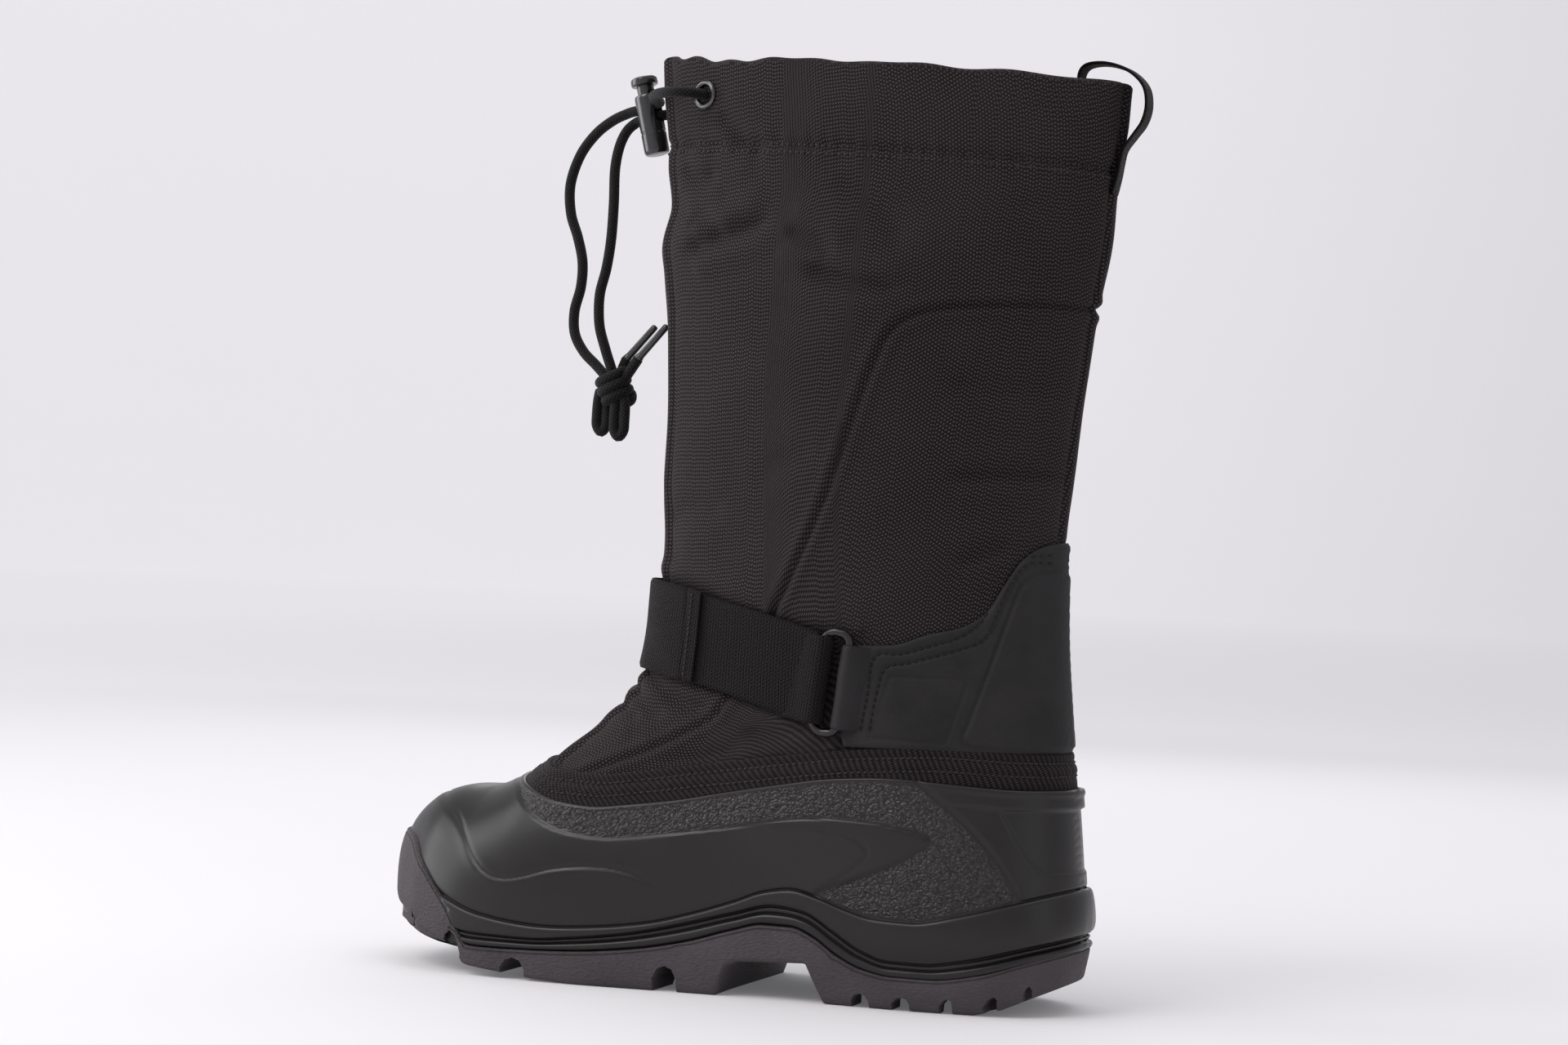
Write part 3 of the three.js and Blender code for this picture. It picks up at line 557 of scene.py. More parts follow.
def outsole_finish(name, color):
    """Hard tread rubber: a stippled side and dull ground faces."""
    f = Finish(name, Specular_IOR_Level=0.25)
    place = f.place()
    stretched = f.stretched(place, (0.55, 0.8, 1.25))
    stipple = f.add("TexVoronoi", "Distance", {"Vector": stretched, "Scale": 900.0})
    grit = f.noise(stretched, 1100, 3, 0.6)
    mottle = f.noise(place, 30, 3)
    height = f.math("MULTIPLY_ADD", grit, 0.6, stipple)
    shade = f.remap(f.math("MULTIPLY_ADD", mottle, 0.6, f.math("MULTIPLY", grit, 0.5)),
                    0.3, 0.9, 0, 1)
    rough = f.remap(grit, 0.3, 0.7, 0.48, 0.78)
    normal = f.bump(height, 0.00045, 0.8)
    return f.finish(f.tint(shade, color, 0.65, 1.6), rough, normal)


def leather_finish(name, color):
    """Coated leather: a very fine grain, faint blotches and a polish that varies from spot to spot.
    """
    f = Finish(name, Specular_IOR_Level=0.18)
    place = f.place()
    grain = f.add("TexVoronoi", "Distance", {"Vector": place, "Scale": 1500.0,
                                              "Smoothness": 0.5}, feature="SMOOTH_F1")
    pores = f.noise(place, 2600, 2)
    blotch = f.noise(place, 35, 4, 0.6)
    height = f.math("MULTIPLY_ADD", pores, 0.4, grain)
    rough = f.remap(f.math("MULTIPLY_ADD", pores, 0.4, blotch), 0.4, 1.0, 0.5, 0.68)
    return f.finish(f.tint(f.remap(blotch, 0.3, 0.7), color, 0.75, 1.35), rough,
                    f.bump(height, 0.00012, 0.7))


BRAID_PITCH = 1.7


def braid_finish(name, color):
    """Braided cord: two sets of crossing strands, in the tube's own UV map, with painted shade
    between the strands.
    """
    f = Finish(name, Roughness=0.6, Sheen_Weight=0.06, Sheen_Roughness=0.4,
               Specular_IOR_Level=0.16)
    _, along, up = f.cloth()
    one = f.math("SINE", f.math("MULTIPLY", f.math("ADD", along, up), math.pi / BRAID_PITCH))
    two = f.math("SINE", f.math("MULTIPLY", f.math("SUBTRACT", along, up), math.pi / BRAID_PITCH))
    strands = f.math("ABSOLUTE", f.math("MULTIPLY", one, two))
    fuzz = f.noise(f.place(), 1500, 2)
    height = f.math("MULTIPLY_ADD", fuzz, 0.25, f.math("POWER", strands, 0.5))
    # Painted shade: the colour follows the strands' height, dark where they dip under each other.
    return f.finish(f.tint(f.remap(height, 0.35, 1.1), color, 0.1, 2.1),
                    f.remap(fuzz, 0.3, 0.7, 0.5, 0.75), f.bump(height, 0.00035, 0.9))


def metal_finish(name, color, rough):
    f = Finish(name, Metallic=1.0)
    place = f.place()
    haze = f.noise(place, 160, 4, 0.6)
    nicks = f.stretched(place, (300, 2600, 900))
    nicks = f.noise(nicks, 1.0, 2)
    return f.finish(f.tint(haze, color, 0.7, 1.25),
                    f.remap(haze, 0.3, 0.7, rough * 0.75, rough * 1.4),
                    f.bump(f.math("MULTIPLY_ADD", nicks, 0.5, haze), 0.00004, 0.5))


def plastic_finish(name, color, rough):
    f = Finish(name, Specular_IOR_Level=0.55, Coat_Weight=0.25, Coat_Roughness=0.08)
    place = f.place()
    haze = f.noise(place, 240, 3, 0.6)
    return f.finish(f.tint(haze, color, 0.8, 1.3),
                    f.remap(haze, 0.3, 0.7, rough * 0.8, rough * 1.3),
                    f.bump(f.noise(place, 500, 2), 0.00005, 0.3))


def thread_finish(name, color):
    f = Finish(name, Roughness=0.5, Sheen_Weight=0.08, Specular_IOR_Level=0.25)
    place = f.place()
    twist = f.add("TexWave", "Fac", {"Vector": place, "Scale": 900.0, "Distortion": 1.5},
                  bands_direction="DIAGONAL")
    # Painted shade: the colour follows the twist's height, darker in its grooves.
    return f.finish(f.tint(twist, color, 0.6, 1.5), f.remap(twist, 0, 1, 0.42, 0.65),
                    f.bump(twist, 0.0001, 0.6))


def felt_finish(name, color):
    f = Finish(name, Roughness=0.95, Sheen_Weight=0.5, Sheen_Roughness=0.5,
               Specular_IOR_Level=0.15)
    place = f.place()
    fibre = f.noise(place, 1600, 4, 0.7)
    tufts = f.noise(place, 220, 3)
    height = f.math("MULTIPLY_ADD", fibre, 0.5, tufts)
    return f.finish(f.tint(f.remap(height, 0.4, 1.1), color, 0.55, 1.4), None,
                    f.bump(height, 0.0012, 0.8))


# ---------------------------------------------------------------------------------------
# Fabric upper
# ---------------------------------------------------------------------------------------

SIDE_SEAM = curved([(8, 296), (36, 295.5), (61, 293.5), (76, 291), (86, 286.5), (92, 280),
                    (96, 271), (100, 260), (105, 244), (115, 211), (131, 172), (137, 158)])
VAMP_SEAM = curved([(152, 132), (156, 124), (163, 115.5), (179, 106.5), (194, 99.5), (205, 95),
                    (219, 89), (232, 82)])
# Half width of the front panel at each height, from the vamp up the shin.
FRONT_PANEL = np.array([(78, 38), (86, 36), (88, 32), (93, 25), (102, 20), (115, 17.5),
                        (135, 16), (165, 15.5), (250, 14.8), (320, 14), (345, 12.5), (397, 11.5)])
BACK_STAY = 4.3  # half width of the narrow strip down the back
SHELL_TUCK = 12  # how far the fabric goes down inside the shell
MID_SHAFT = 24.0  # the form's row whose outline spaces the upper's columns
ROUND_STEPS, RISE_STEPS = 1441, 561  # how finely the form is read round the leg and up it
CASING_DROP = 34.5  # height of the drawcord's casing
CREASES = [(curved(line), half, depth) for line, half, depth in (
    ([(192, 313), (186, 316), (172, 320), (160, 324), (144, 330)], 4.5, 2.4),
    ([(190, 326), (184, 329), (176, 326), (170, 320)], 3.5, 1.3),
    ([(141, 324), (132, 321), (122, 317), (116, 311)], 4.2, 1.7),
    ([(132, 311), (124, 306), (105, 301), (82, 299)], 4.2, 1.9),
    ([(178, 374), (171, 370), (160, 361), (150, 354)], 4.5, 1.5),
    ([(196, 352), (184, 346), (174, 349)], 4.0, 1.3),
    ([(66, 222), (45, 224), (20, 226)], 3.6, 1.5),
    ([(60, 186), (50, 190), (38, 196)], 3.6, 1.1),
    ([(120, 345), (104, 338), (92, 326), (88, 312)], 6.0, 1.0),
    ([(70, 262), (45, 259), (18, 262)], 6.0, .8),
    ([(150, 214), (135, 226), (118, 231)], 7.0, .7),
    ([(196, 198), (180, 204), (160, 203)], 6.0, .9),
    ([(214, 132), (206, 126), (196, 118), (184, 114)], 4.0, 1.6),
    ([(219, 121), (210, 117), (198, 112)], 3.4, 1.3),
    ([(206, 137), (192, 128), (176, 121), (160, 118)], 3.6, 1.4),
    ([(150, 112), (130, 111), (112, 114)], 4.5, 1.0),
    ([(146, 104), (170, 98), (190, 94)], 4.0, .8),
    ([(100, 118), (112, 108), (128, 104)], 3.6, .8))]


def trough(distance, half, depth):
    """A soft groove: full depth on the line, none past twice its half width."""
    return -depth * np.exp(-(distance / half) ** 2)


def shaft_swell(x, y, z):
    """Slow uneven fullness of a padded wall, the same each time."""
    return (0.55 * np.sin(x / 23 + z / 37 + 0.6) * np.sin(z / 29 - y / 31)
            + 0.35 * np.sin(x / 11 - z / 17 + y / 19 + 1.7) + 0.18 * np.sin(z / 7.3 + x / 9.1))


def upper_relief(x, y, z):
    """How far the fabric stands out from the form at each point."""
    side = np.abs(y)
    front = smoothstep(x, 150, 185)
    off = shaft_swell(x, y, z) * smoothstep(z, 90, 130)
    seam, along = distance_to_line(x, z, SIDE_SEAM)
    off = off + trough(seam, 1.3, 1.7) + 0.75 * np.exp(-((seam - 3.6) / 2.2) ** 2)
    seam, _ = distance_to_line(x, z, VAMP_SEAM)
    inward = np.where(side > 20, 1, 0)
    off = off + inward * (trough(seam, 1.2, 1.5) + 0.8 * np.exp(-((seam - 3.0) / 1.8) ** 2))
    panel = np.interp(z, FRONT_PANEL[:, 0], FRONT_PANEL[:, 1])
    edge = side - panel
    off = off + front * (trough(edge, 1.2, 1.5) + 0.9 * np.exp(-((edge + 3.0) / 1.7) ** 2))
    back = smoothstep(-x, -45, -25)
    edge = side - BACK_STAY
    off = off + back * (trough(edge, 1.1, 1.3) + 0.7 * (side < BACK_STAY - 1))
    rim = rim_height(x)
    drop = rim - z
    fold = np.abs(drop - CASING_DROP)
    off = off + trough(fold, 2.2, 1.3) + 0.9 * np.exp(-((drop - CASING_DROP / 2) / 13) ** 2)
    pucker = np.sin(np.arctan2(y, x - 106) * 46) * np.exp(-(fold / 6) ** 2)
    off = off + 0.28 * pucker
    for line, half, depth in CREASES:
        gap, along = distance_to_line(x, z, line)
        fade = smoothstep(along, 0, 0.2) * smoothstep(-along, -1, -0.75)
        outer = np.where(y > 0, 1.5, 0.8)
        off = off + outer * fade * (
            trough(gap, half * 0.8, depth * 0.9)
            + 0.4 * depth * np.exp(-((gap - half * 2.1) / (half * 1.3)) ** 2))
    # The drawcord gathers the front of the collar.
    off = off + front * smoothstep(z, 300, 312) * (
        -1.9 * np.exp(-((z - 334) / 8) ** 2) + 0.9 * np.exp(-((z - 317) / 7) ** 2)
        + 0.8 * np.exp(-((z - 352) / 7) ** 2))
    # The strap, the heel counter and the gaiter press the padding in.
    strap = np.minimum(STRAP_HIGH(x) - z, z - STRAP_LOW(x))
    strap = np.where(x > 96, strap, -99)
    off = off - 1.5 * smoothstep(strap, -2, 3) + 1.1 * np.exp(-((strap + 6) / 4) ** 2)
    counter = np.minimum(COUNTER_HIGH(x) - z, 103 - x)
    off = np.where(counter > -3, off * (1 - smoothstep(counter, -3, 1))
                   - 0.5 * smoothstep(counter, -1, 2), off)
    gaiter = GAITER_HIGH(x) - z
    off = off * (1 - smoothstep(gaiter, -3, 1)) - 0.3 * smoothstep(gaiter, -1, 2)
    return off


STRAP_HIGH, STRAP_LOW = side_line(STRAP_TOP), side_line(STRAP_BOTTOM)
COUNTER_HIGH, COUNTER_LOW = side_line(COUNTER_TOP), side_line(COUNTER_BOTTOM)
GAITER_HIGH, SHELL_HIGH = side_line(GAITER_TOP), side_line(SHELL_TOP)
RIM_BACK, RIM_FRONT = FORM_ROWS[-1, 0:2], FORM_ROWS[-1, 2:4]


def rim_height(x):
    share = (x - RIM_BACK[0]) / (RIM_FRONT[0] - RIM_BACK[0])
    return RIM_BACK[1] + share * (RIM_FRONT[1] - RIM_BACK[1])


def upper_grid(rows, columns):
    """Points of the form in columns that run from inside the shell up to the rim."""
    low_line = raised(SHELL_HIGH, -SHELL_TUCK)
    fine = np.linspace(0, 2 * math.pi, ROUND_STEPS)
    mid_shaft = form_points(np.full(fine.shape, MID_SHAFT), fine)
    along = lengths_along(mid_shaft)
    angles = np.interp(np.linspace(0, along[-1], columns, endpoint=False), along, fine)
    steps = np.linspace(0, LAST_ROW, RISE_STEPS)
    columns_of_points = form_points(steps[:, None], angles[None, :])
    over = columns_of_points[..., 2] - low_line(columns_of_points[..., 0]) > 0
    first = over.argmax(0)
    grid = np.empty((rows, columns, 3))
    for c in range(columns):
        i = max(first[c], 1)
        grid[:, c] = resampled(columns_of_points[i - 1:, c], rows - 1)
    return grid


UPPER_ROWS, UPPER_COLUMNS, LINING_ROWS = 250, 300, 70
FABRIC_WALL = 4.5
HEM_ROWS = (2, 5, 8, 13, 29, 66, 118)  # rows down from the rim that the wall's inside follows


def build_upper():
    grid = upper_grid(UPPER_ROWS, UPPER_COLUMNS)
    normal = grid_normals(grid, True)
    x, y, z = np.moveaxis(grid, -1, 0)
    gathered = 0.45 + smoothstep(x, 130, 195)
    wave = np.sin(x / 8 + y / 13) + 0.6 * np.sin(x / 3.9 - y / 5.5 + 1)
    grid = grid + (np.array([0, 0, 1]) * (gathered * wave * smoothstep(z, 368, 394))[..., None])
    relief = upper_relief(x, y, z)
    outer = grid + normal * relief[..., None]
    # Round the rim over to the inside, and fold the hem down.
    rim, out = outer[-1], normal[-1] * np.array([1, 1, 0])
    out = out / np.linalg.norm(out, axis=1, keepdims=True)
    inner = [rim - out * (FABRIC_WALL / 2) * (1 - math.cos(a))
             + np.array([0, 0, 1]) * 2.0 * math.sin(a) for a in np.linspace(0.3, math.pi, 7)]
    inner += [outer[-1 - r] - normal[-1 - r] * FABRIC_WALL for r in HEM_ROWS]
    low = [grid[r] - normal[r] * FABRIC_WALL for r in (90, 50, 20, 0)]
    rings = np.concatenate([outer, inner, low], 0)
    uv = uv_of(np.concatenate([grid, inner, low], 0), True)
    return ring_piece("upper_fabric", rings, uv)


def build_lining():
    """The lining inside the shaft, from the hem down to the insole."""
    grid = upper_grid(LINING_ROWS, 120)
    normal = grid_normals(grid, True)
    x, y, z = np.moveaxis(grid, -1, 0)
    soft = np.sin(x / 9 + z / 13) * np.sin(y / 7 - z / 17)
    back = grid - normal * (FABRIC_WALL + 0.4)
    front = grid - normal * (FABRIC_WALL + 1.6 - 0.3 * soft)[..., None]
    keep = slice(0, LINING_ROWS - 3)  # its hem ends below the rim
    rings = np.concatenate([back[keep], front[keep][::-1]], 0)[::-1]
    return ring_piece("upper_lining", rings, uv_of(rings, True))


# ---------------------------------------------------------------------------------------
# Rubber shell, outsole, gaiter
# ---------------------------------------------------------------------------------------

BEAD_HIGH, BEAD_LOW = side_line(BEAD_TOP), side_line(BEAD_BOTTOM)
SOLE_HIGH, BUMPER_HIGH = side_line(OUTSOLE_TOP), side_line(BUMPER_TOP)
SHELL_OUTSET, GROOVE_OUTSET = 3.4, 2.9
# The smooth field of the shell: under the collar's groove, and ahead of the swept point.
FIELD_TOP = [(345, 112), (285, 101), (268, 86), (262, 80.8), (256, 79.6), (250.6, 78.2),
             (245.6, 73.9), (236.6, 67.9), (225, 63.6), (209, 61.7), (194, 62.7), (174, 66),
             (147, 70.8), (130, 74.8), (106, 77.7), (87, 77.4), (71, 75), (64.5, 73.3)]
FIELD_POINT = [(62.5, 71.2), (64.2, 68.8), (75.6, 61.2), (93, 53.8), (108, 47), (118, 38)]
FIELD = np.vstack([curved(FIELD_TOP, 4), curved(FIELD_POINT, 4), [(118, -20), (345, -20)]])
LEAF = curved([(150, 69.6), (130, 72.5), (112, 73.5), (96, 71.6), (89, 67.5), (87.6, 64.6),
               (89.7, 61), (99, 53.3), (110, 46.6)])
TOE_CREASE = curved([(302, 74), (294, 71), (279, 64.2), (270, 57), (262.3, 48.6), (255.3, 43.5),
                     (247.3, 42.1), (238, 43.9), (226.7, 47.4), (214.4, 49.4), (202.4, 49.8),
                     (192.3, 48.4), (182, 45), (176, 42)])
REAR_ARC = curved([(69, 96), (67.6, 93.8), (57.2, 85.3), (47, 76.1), (36.8, 64.1), (28.9, 51),
                   (26, 43)])
HEEL_PANEL = [(36.7, 84.5), (25, 85.2), (-10, 85.5), (-10, 59), (12, 59), (20, 59), (22.5, 60.5),
              (25.6, 64.7), (31, 73.5)]
TWIN_PROFILE = [  # share of the way from the outsole to the broad bead, height over the groove
    (0.05, 0), (0.09, .95), (0.16, 1.5), (0.25, 1.85), (0.34, 1.95), (0.43, 1.85), (0.52, 1.5),
    (0.58, .95), (0.62, 0), (0.655, 0), (0.68, .65), (0.74, 1.0), (0.8, 1.12), (0.86, 1.0),
    (0.92, .65), (0.95, 0), (1.0, .1)]
BEAD_PROFILE = [(.03, 1.3), (.07, 1.95), (.13, 2.35), (.22, 2.6), (.34, 2.7), (.46, 2.7),
                (.58, 2.65), (.7, 2.55), (.8, 2.4), (.88, 2.2), (.94, 1.9), (.975, 1.4),
                (.995, 0.35), (1.0, .05)]
BODY_STEPS = 58


def shell_relief(x, z):
    """Height of the shell's moulded details, and how pebbled it is, at each point."""
    field = signed_outline(x, z, FIELD)
    high = 0.28 * smoothstep(field, -0.4, 0.5) + trough(field + 0.3, 0.65, 0.65)
    leaf, along = distance_to_line(x, z, LEAF)
    high = high + smoothstep(along, 0, 0.25) * trough(leaf, 0.8, 0.5)
    leaf_side = (field > 0) * smoothstep(along, 0.02, 0.3) * np.exp(-(leaf / 9) ** 2)
    high = high + 0.25 * leaf_side
    crease, along = distance_to_line(x, z, TOE_CREASE)
    ends = smoothstep(along, 0, 0.05) * smoothstep(-along, -1, -0.86)
    high = high + ends * trough(crease, 0.8, 0.55)
    below = z < np.interp(x, TOE_CREASE[::-1, 0], TOE_CREASE[::-1, 1])
    high = high + ends * np.where(below, 0.22 * np.exp(-((crease - 2.2) / 2.0) ** 2), 0)
    arc, along = distance_to_line(x, z, REAR_ARC)
    behind = x < np.interp(z, REAR_ARC[::-1, 1], REAR_ARC[::-1, 0])
    high = high + trough(arc, 0.9, 0.55) + 0.45 * behind * smoothstep(arc, 0.3, 2.0)
    panel = signed_outline(x, z, HEEL_PANEL)
    high = high - 0.9 * smoothstep(panel, -0.8, 0.9)
    edge = SHELL_HIGH(x) - z
    lip = np.exp(-((edge - 1.2) / 1.1) ** 2)
    rear = smoothstep(-x, -62, -40)
    high = high + (0.12 + 0.5 * rear) * lip + rear * (0.9 * smoothstep(-edge, -8.2, -7.4))
    pebble = (smoothstep(-field, 0.6, 1.6) * smoothstep(edge, 0.6, 1.6)
              * np.where(behind, 0, smoothstep(arc, 0.6, 1.6)) * smoothstep(-x, -264, -254)
              * smoothstep(z - BEAD_HIGH(x), 0.8, 1.8))
    return high, pebble


def build_shell():
    count = 360
    stations = [(raised(SOLE_HIGH, -2.5), GROOVE_OUTSET), (SOLE_HIGH, GROOVE_OUTSET)]
    stations += [(between(SOLE_HIGH, BEAD_LOW, t), GROOVE_OUTSET + h) for t, h in TWIN_PROFILE]
    stations += [(between(BEAD_LOW, BEAD_HIGH, t), GROOVE_OUTSET + h) for t, h in BEAD_PROFILE]
    body_from = len(stations)
    stations += [(between(raised(BEAD_HIGH, 0.45), SHELL_HIGH, (k / BODY_STEPS)),
                  SHELL_OUTSET - (0.35 if k == 0 else 0)) for k in range(BODY_STEPS + 1)]
    lip_from = len(stations)
    stations += [(raised(SHELL_HIGH, by), outset)
                 for by, outset in ((0.45, 3.2), (0.75, 2.5), (0.8, 1.7), (0.55, 1.05))]
    base = np.stack([loop_row(line, count) for line, _ in stations])
    outset = np.array([outset for _, outset in stations])[:, None] * np.ones(base.shape[:2])
    normal = grid_normals(base, True)
    x, z = base[..., 0], base[..., 2]
    relief, pebble = shell_relief(x, z)
    on_body = np.zeros(base.shape[:2])
    on_body[body_from:lip_from] = 1
    over_bumper = np.where(x > 255, smoothstep(z - BUMPER_HIGH(x), -0.6, 1.4), 1)
    over_bumper = over_bumper * (1 + 0.4 * smoothstep(-x, -50, -15) * (on_body == 0))
    extra = np.maximum(outset - GROOVE_OUTSET, 0) * np.where(on_body > 0, 1, over_bumper)
    outset = np.minimum(outset, GROOVE_OUTSET) + extra + relief * on_body
    outer = base + normal * outset[..., None]
    inside = [(lip_from, 0.6), (lip_from - 8, 0.5), (lip_from - 30, 0.5), (body_from, 0.5),
              (body_from - 16, 0.5), (0, 0.8)]
    back = np.stack([base[r] + normal[r] * o for r, o in inside])
    rings = np.concatenate([outer, back], 0)
    pebble = np.concatenate([pebble * on_body, np.zeros(back.shape[:2])], 0)
    return ring_piece("shell_rubber", rings, None, {"pebble": pebble})


SOLE_OUTSET, SOLE_STEP, SOLE_HEIGHTS = 5.0, 1.0, 66
SOLE_MODEL = 26  # the level whose columns the others follow
SOLE_LIP = 2.3  # height of the bevelled lip at the top of the wall


def upright(levels, count):
    """The same loops with each column at one share of the foot's length on every level."""
    wide, column = np.concatenate([levels, levels[:, :1]], 1), np.arange(count + 1)
    weight = smoothstep(column, 0, 25) * smoothstep(count - column, 0, 25)
    for part in (slice(0, count + 1), slice(2 * count, count - 1, -1)):
        x = np.maximum.accumulate(wide[:, part, 0], 1) + column * 1e-6
        share = (x - x[:, :1]) / (x[:, -1:] - x[:, :1])
        for row, own in zip(wide, share):
            at = column + (np.interp(share[SOLE_MODEL], own, column) - column) * weight
            row[part] = np.stack([np.interp(at, column, row[part][:, k]) for k in range(3)], 1)
    return wide[:, :-1]


def build_outsole():
    """The tread: a wall round the shell's foot with a floor, notched and grooved underneath."""
    count, rise = 300, np.arange(SOLE_HEIGHTS) * SOLE_STEP
    source = rise * 0.75 + 4.5
    source[18:] = rise[18:]
    levels = np.stack([loop_row(lambda at, h=h: np.full(np.shape(at), h), count) for h in source])
    levels = upright(levels, count)
    levels[..., 2] = rise[:, None]
    normal = grid_normals(levels, True)
    normal[..., 2] = 0
    normal /= np.maximum(np.linalg.norm(normal, axis=-1, keepdims=True), 1e-9)
    toe = smoothstep(levels[..., 0], 258, 290)
    wall = levels + normal * (SOLE_OUTSET + 0.6 * toe)[..., None]

    def height_on(line, grid):
        over = rise[:, None] - line(grid[..., 0])
        first = np.maximum((over >= 0).argmax(0), 1)
        c = np.arange(grid.shape[1])
        a, b = over[first - 1, c], over[first, c]
        share = np.clip(a / np.where(a == b, 1, a - b), 0, 1)
        return rise[first - 1] + share * SOLE_STEP * (over[0] < 0)

    def at_height(grid, height):
        i = np.clip((height / SOLE_STEP).astype(int), 0, SOLE_HEIGHTS - 2)
        t = (height / SOLE_STEP - i)[:, None]
        c = np.arange(grid.shape[1])
        return grid[i, c] * (1 - t) + grid[i + 1, c] * t

    def top_line(at):
        return np.where(at > 262, np.maximum(BUMPER_HIGH(at), SOLE_HIGH(at)), SOLE_HIGH(at))

    def ground(at):
        line = np.array(GROUND_LINE[::-1], float)
        return np.interp(at, line[:, 0], line[:, 1])

    low, high = height_on(ground, wall), height_on(top_line, wall)
    floor = np.minimum(high - 0.6, height_on(SOLE_HIGH, wall) - 1.5)
    rows = []
    wall_height = high - SOLE_LIP - low
    for share, inset in ((0, 1.5), (0.03, 0.7), (0.09, 0.25)):
        rows.append((low + wall_height * share, inset))
    rows += [(low + wall_height * share, 0.0) for share in np.linspace(0.16, 1, 12)]
    rows += [(high - 1.9, 0.0), (high - 1.6, 0.55), (high - 1.2, 0.6), (high - 0.9, 0.1),
             (high - 0.35, 0.15), (high, 0.75), (high, 2.2), (floor, 2.4)]
    ring = []
    for height, inset in rows:
        point, out = at_height(wall, height), at_height(normal, height)
        point = point - out * inset
        point[:, 2] = height
        ring.append(point)
    ring = np.stack(ring)
    side, _ = grid_faces(len(ring), 2 * count, False, True)
    points, faces = [ring.reshape(-1, 3)], side.tolist()
    across = 8
    for row, turn in ((ring[0], 1), (ring[-1], -1)):
        start = sum(len(p) for p in points)
        c = np.arange(count + 1)
        a, b = row[c % (2 * count)], row[(2 * count - c) % (2 * count)]
        share = np.linspace(0, 1, across + 1)[None, :, None]
        cap = a[:, None] * (1 - share) + b[:, None] * share
        points.append(cap.reshape(-1, 3))
        quads, _ = grid_faces(count + 1, across + 1, False, False, start)
        faces += [q[::turn] for q in quads.tolist()]
    piece = new_mesh("outsole_tread", np.vstack(points), faces)
    outwards(piece)
    cut_tread(piece)
    return piece


SIDE_NOTCHES = [  # x, half width, height, lean of the notch towards the toe
    (22, 2.2, 13.5, -2), (36, 2.8, 8.5, -3), (53.6, 2.7, 6.5, -2), (72, 3.8, 5.8, -1),
    (89, 3.8, 6, 0), (173.5, 5.2, 11, 0), (240.5, 5.6, 9.5, 0), (269.5, 4.6, 18.5, 2),
    (292, 1.6, 24, 2)]
NOTCH_SHAPE = [  # shares of the half width, the lean and the height
    (-1, .4, .5), (-.6, .8, .88), (0, 1, 1), (.6, .8, .88), (1, .4, .5)]
TREAD_CHANNELS = [(44, 102, 20), (156, 262, 22)]  # from x, to x, distance from the middle
CHEVRONS = [53.6, 72, 89, 173.5, 207, 240.5]


def prism(points, low, high, axis):
    """A closed prism of an outline, along y (axis 1) or z (axis 2)."""
    points = np.array(points, float)
    area = np.sum(points[:, 0] * np.roll(points[:, 1], -1)
                  - points[:, 1] * np.roll(points[:, 0], -1))
    if (area < 0) != (axis == 1):
        points = points[::-1]
    n = len(points)
    ends = []
    for level in (low, high):
        third = np.full(n, level)
        columns = ((points[:, 0], third, points[:, 1]) if axis == 1
                   else (points[:, 0], points[:, 1], third))
        ends.append(np.stack(columns, 1))
    faces = [list(range(n))[::-1], list(range(n, 2 * n))]
    faces += [[i, (i + 1) % n, n + (i + 1) % n, n + i] for i in range(n)]
    return np.vstack(ends), faces


def cut_tread(piece):
    cutters = []
    for x, half, height, lean in SIDE_NOTCHES:
        outline = [(x - half, -8)]
        outline += [(x + half * wide + lean * tilt, height * share)
                    for wide, tilt, share in NOTCH_SHAPE]
        outline += [(x + half, -8)]
        cutters += [prism(outline, 25, 90, 1), prism(outline, -90, -25, 1)]
    for x0, x1, y in TREAD_CHANNELS:
        for side in (1, -1):
            cutters.append(prism([(x0, side * y - 2.5), (x1, side * y - 2.5), (x1, side * y + 2.5),
                                  (x0, side * y + 2.5)], -5, 6, 2))
    for x in CHEVRONS:
        for side in (1, -1):
            cutters.append(prism([(x - 2.5, side * 34), (x + 2.5, side * 34), (x + 13.5, 0),
                                  (x + 8.5, 0)], -5, 5.9, 2))
    for points, faces in cutters:
        tool = new_mesh("tread_cutter", points, faces, smooth=False)
        outwards(tool)
        apply_modifier(piece, "BOOLEAN", object=tool, operation="DIFFERENCE", solver="MANIFOLD")
        bpy.data.objects.remove(tool)


def build_gaiter():
    count, steps = 300, 18
    lines = [between(raised(SHELL_HIGH, -6), GAITER_HIGH, k / steps) for k in range(steps + 1)]
    base = np.stack([loop_row(line, count) for line in lines])
    normal = grid_normals(base, True)
    x, y, z = np.moveaxis(base, -1, 0)
    drop = GAITER_HIGH(x) - z
    out = 1.5 + 0.9 * smoothstep(drop, 2, 8) + 0.2 * np.sin(x / 5.1 + z / 4) * np.sin(y / 6.3)
    out = out + 0.4 * np.exp(-((drop - 1.4) / 1.2) ** 2) + 0.35 * np.exp(-((drop - 6.7) / 2) ** 2)
    out = out + trough(drop - 4, 0.9, 0.45) + trough(drop - 9.5, 0.9, 0.45)
    out = out + (0.12 * np.sin(np.arange(x.shape[1]) * 1.1)[None, :]
                 * np.exp(-((drop - 6.5) / 3) ** 2))
    front = base + normal * out[..., None]
    back = base + normal * -0.6
    rings = np.concatenate([front, back[::-1]], 0)
    return ring_piece("gaiter_band", rings, uv_of(np.concatenate([base, base[::-1]], 0), True))


# ---------------------------------------------------------------------------------------
# Tubes, turned parts and stitches
# ---------------------------------------------------------------------------------------

def unit(vectors):
    return vectors / np.maximum(np.linalg.norm(vectors, axis=-1, keepdims=True), 1e-9)


def smooth_path(points, step):
    fine = curved(points, 12)
    return resampled(fine, max(int(round(lengths_along(fine)[-1] / step)), 2))


END_DOME = 0.165  # height of the dome at a tube's end, as a share of its radius


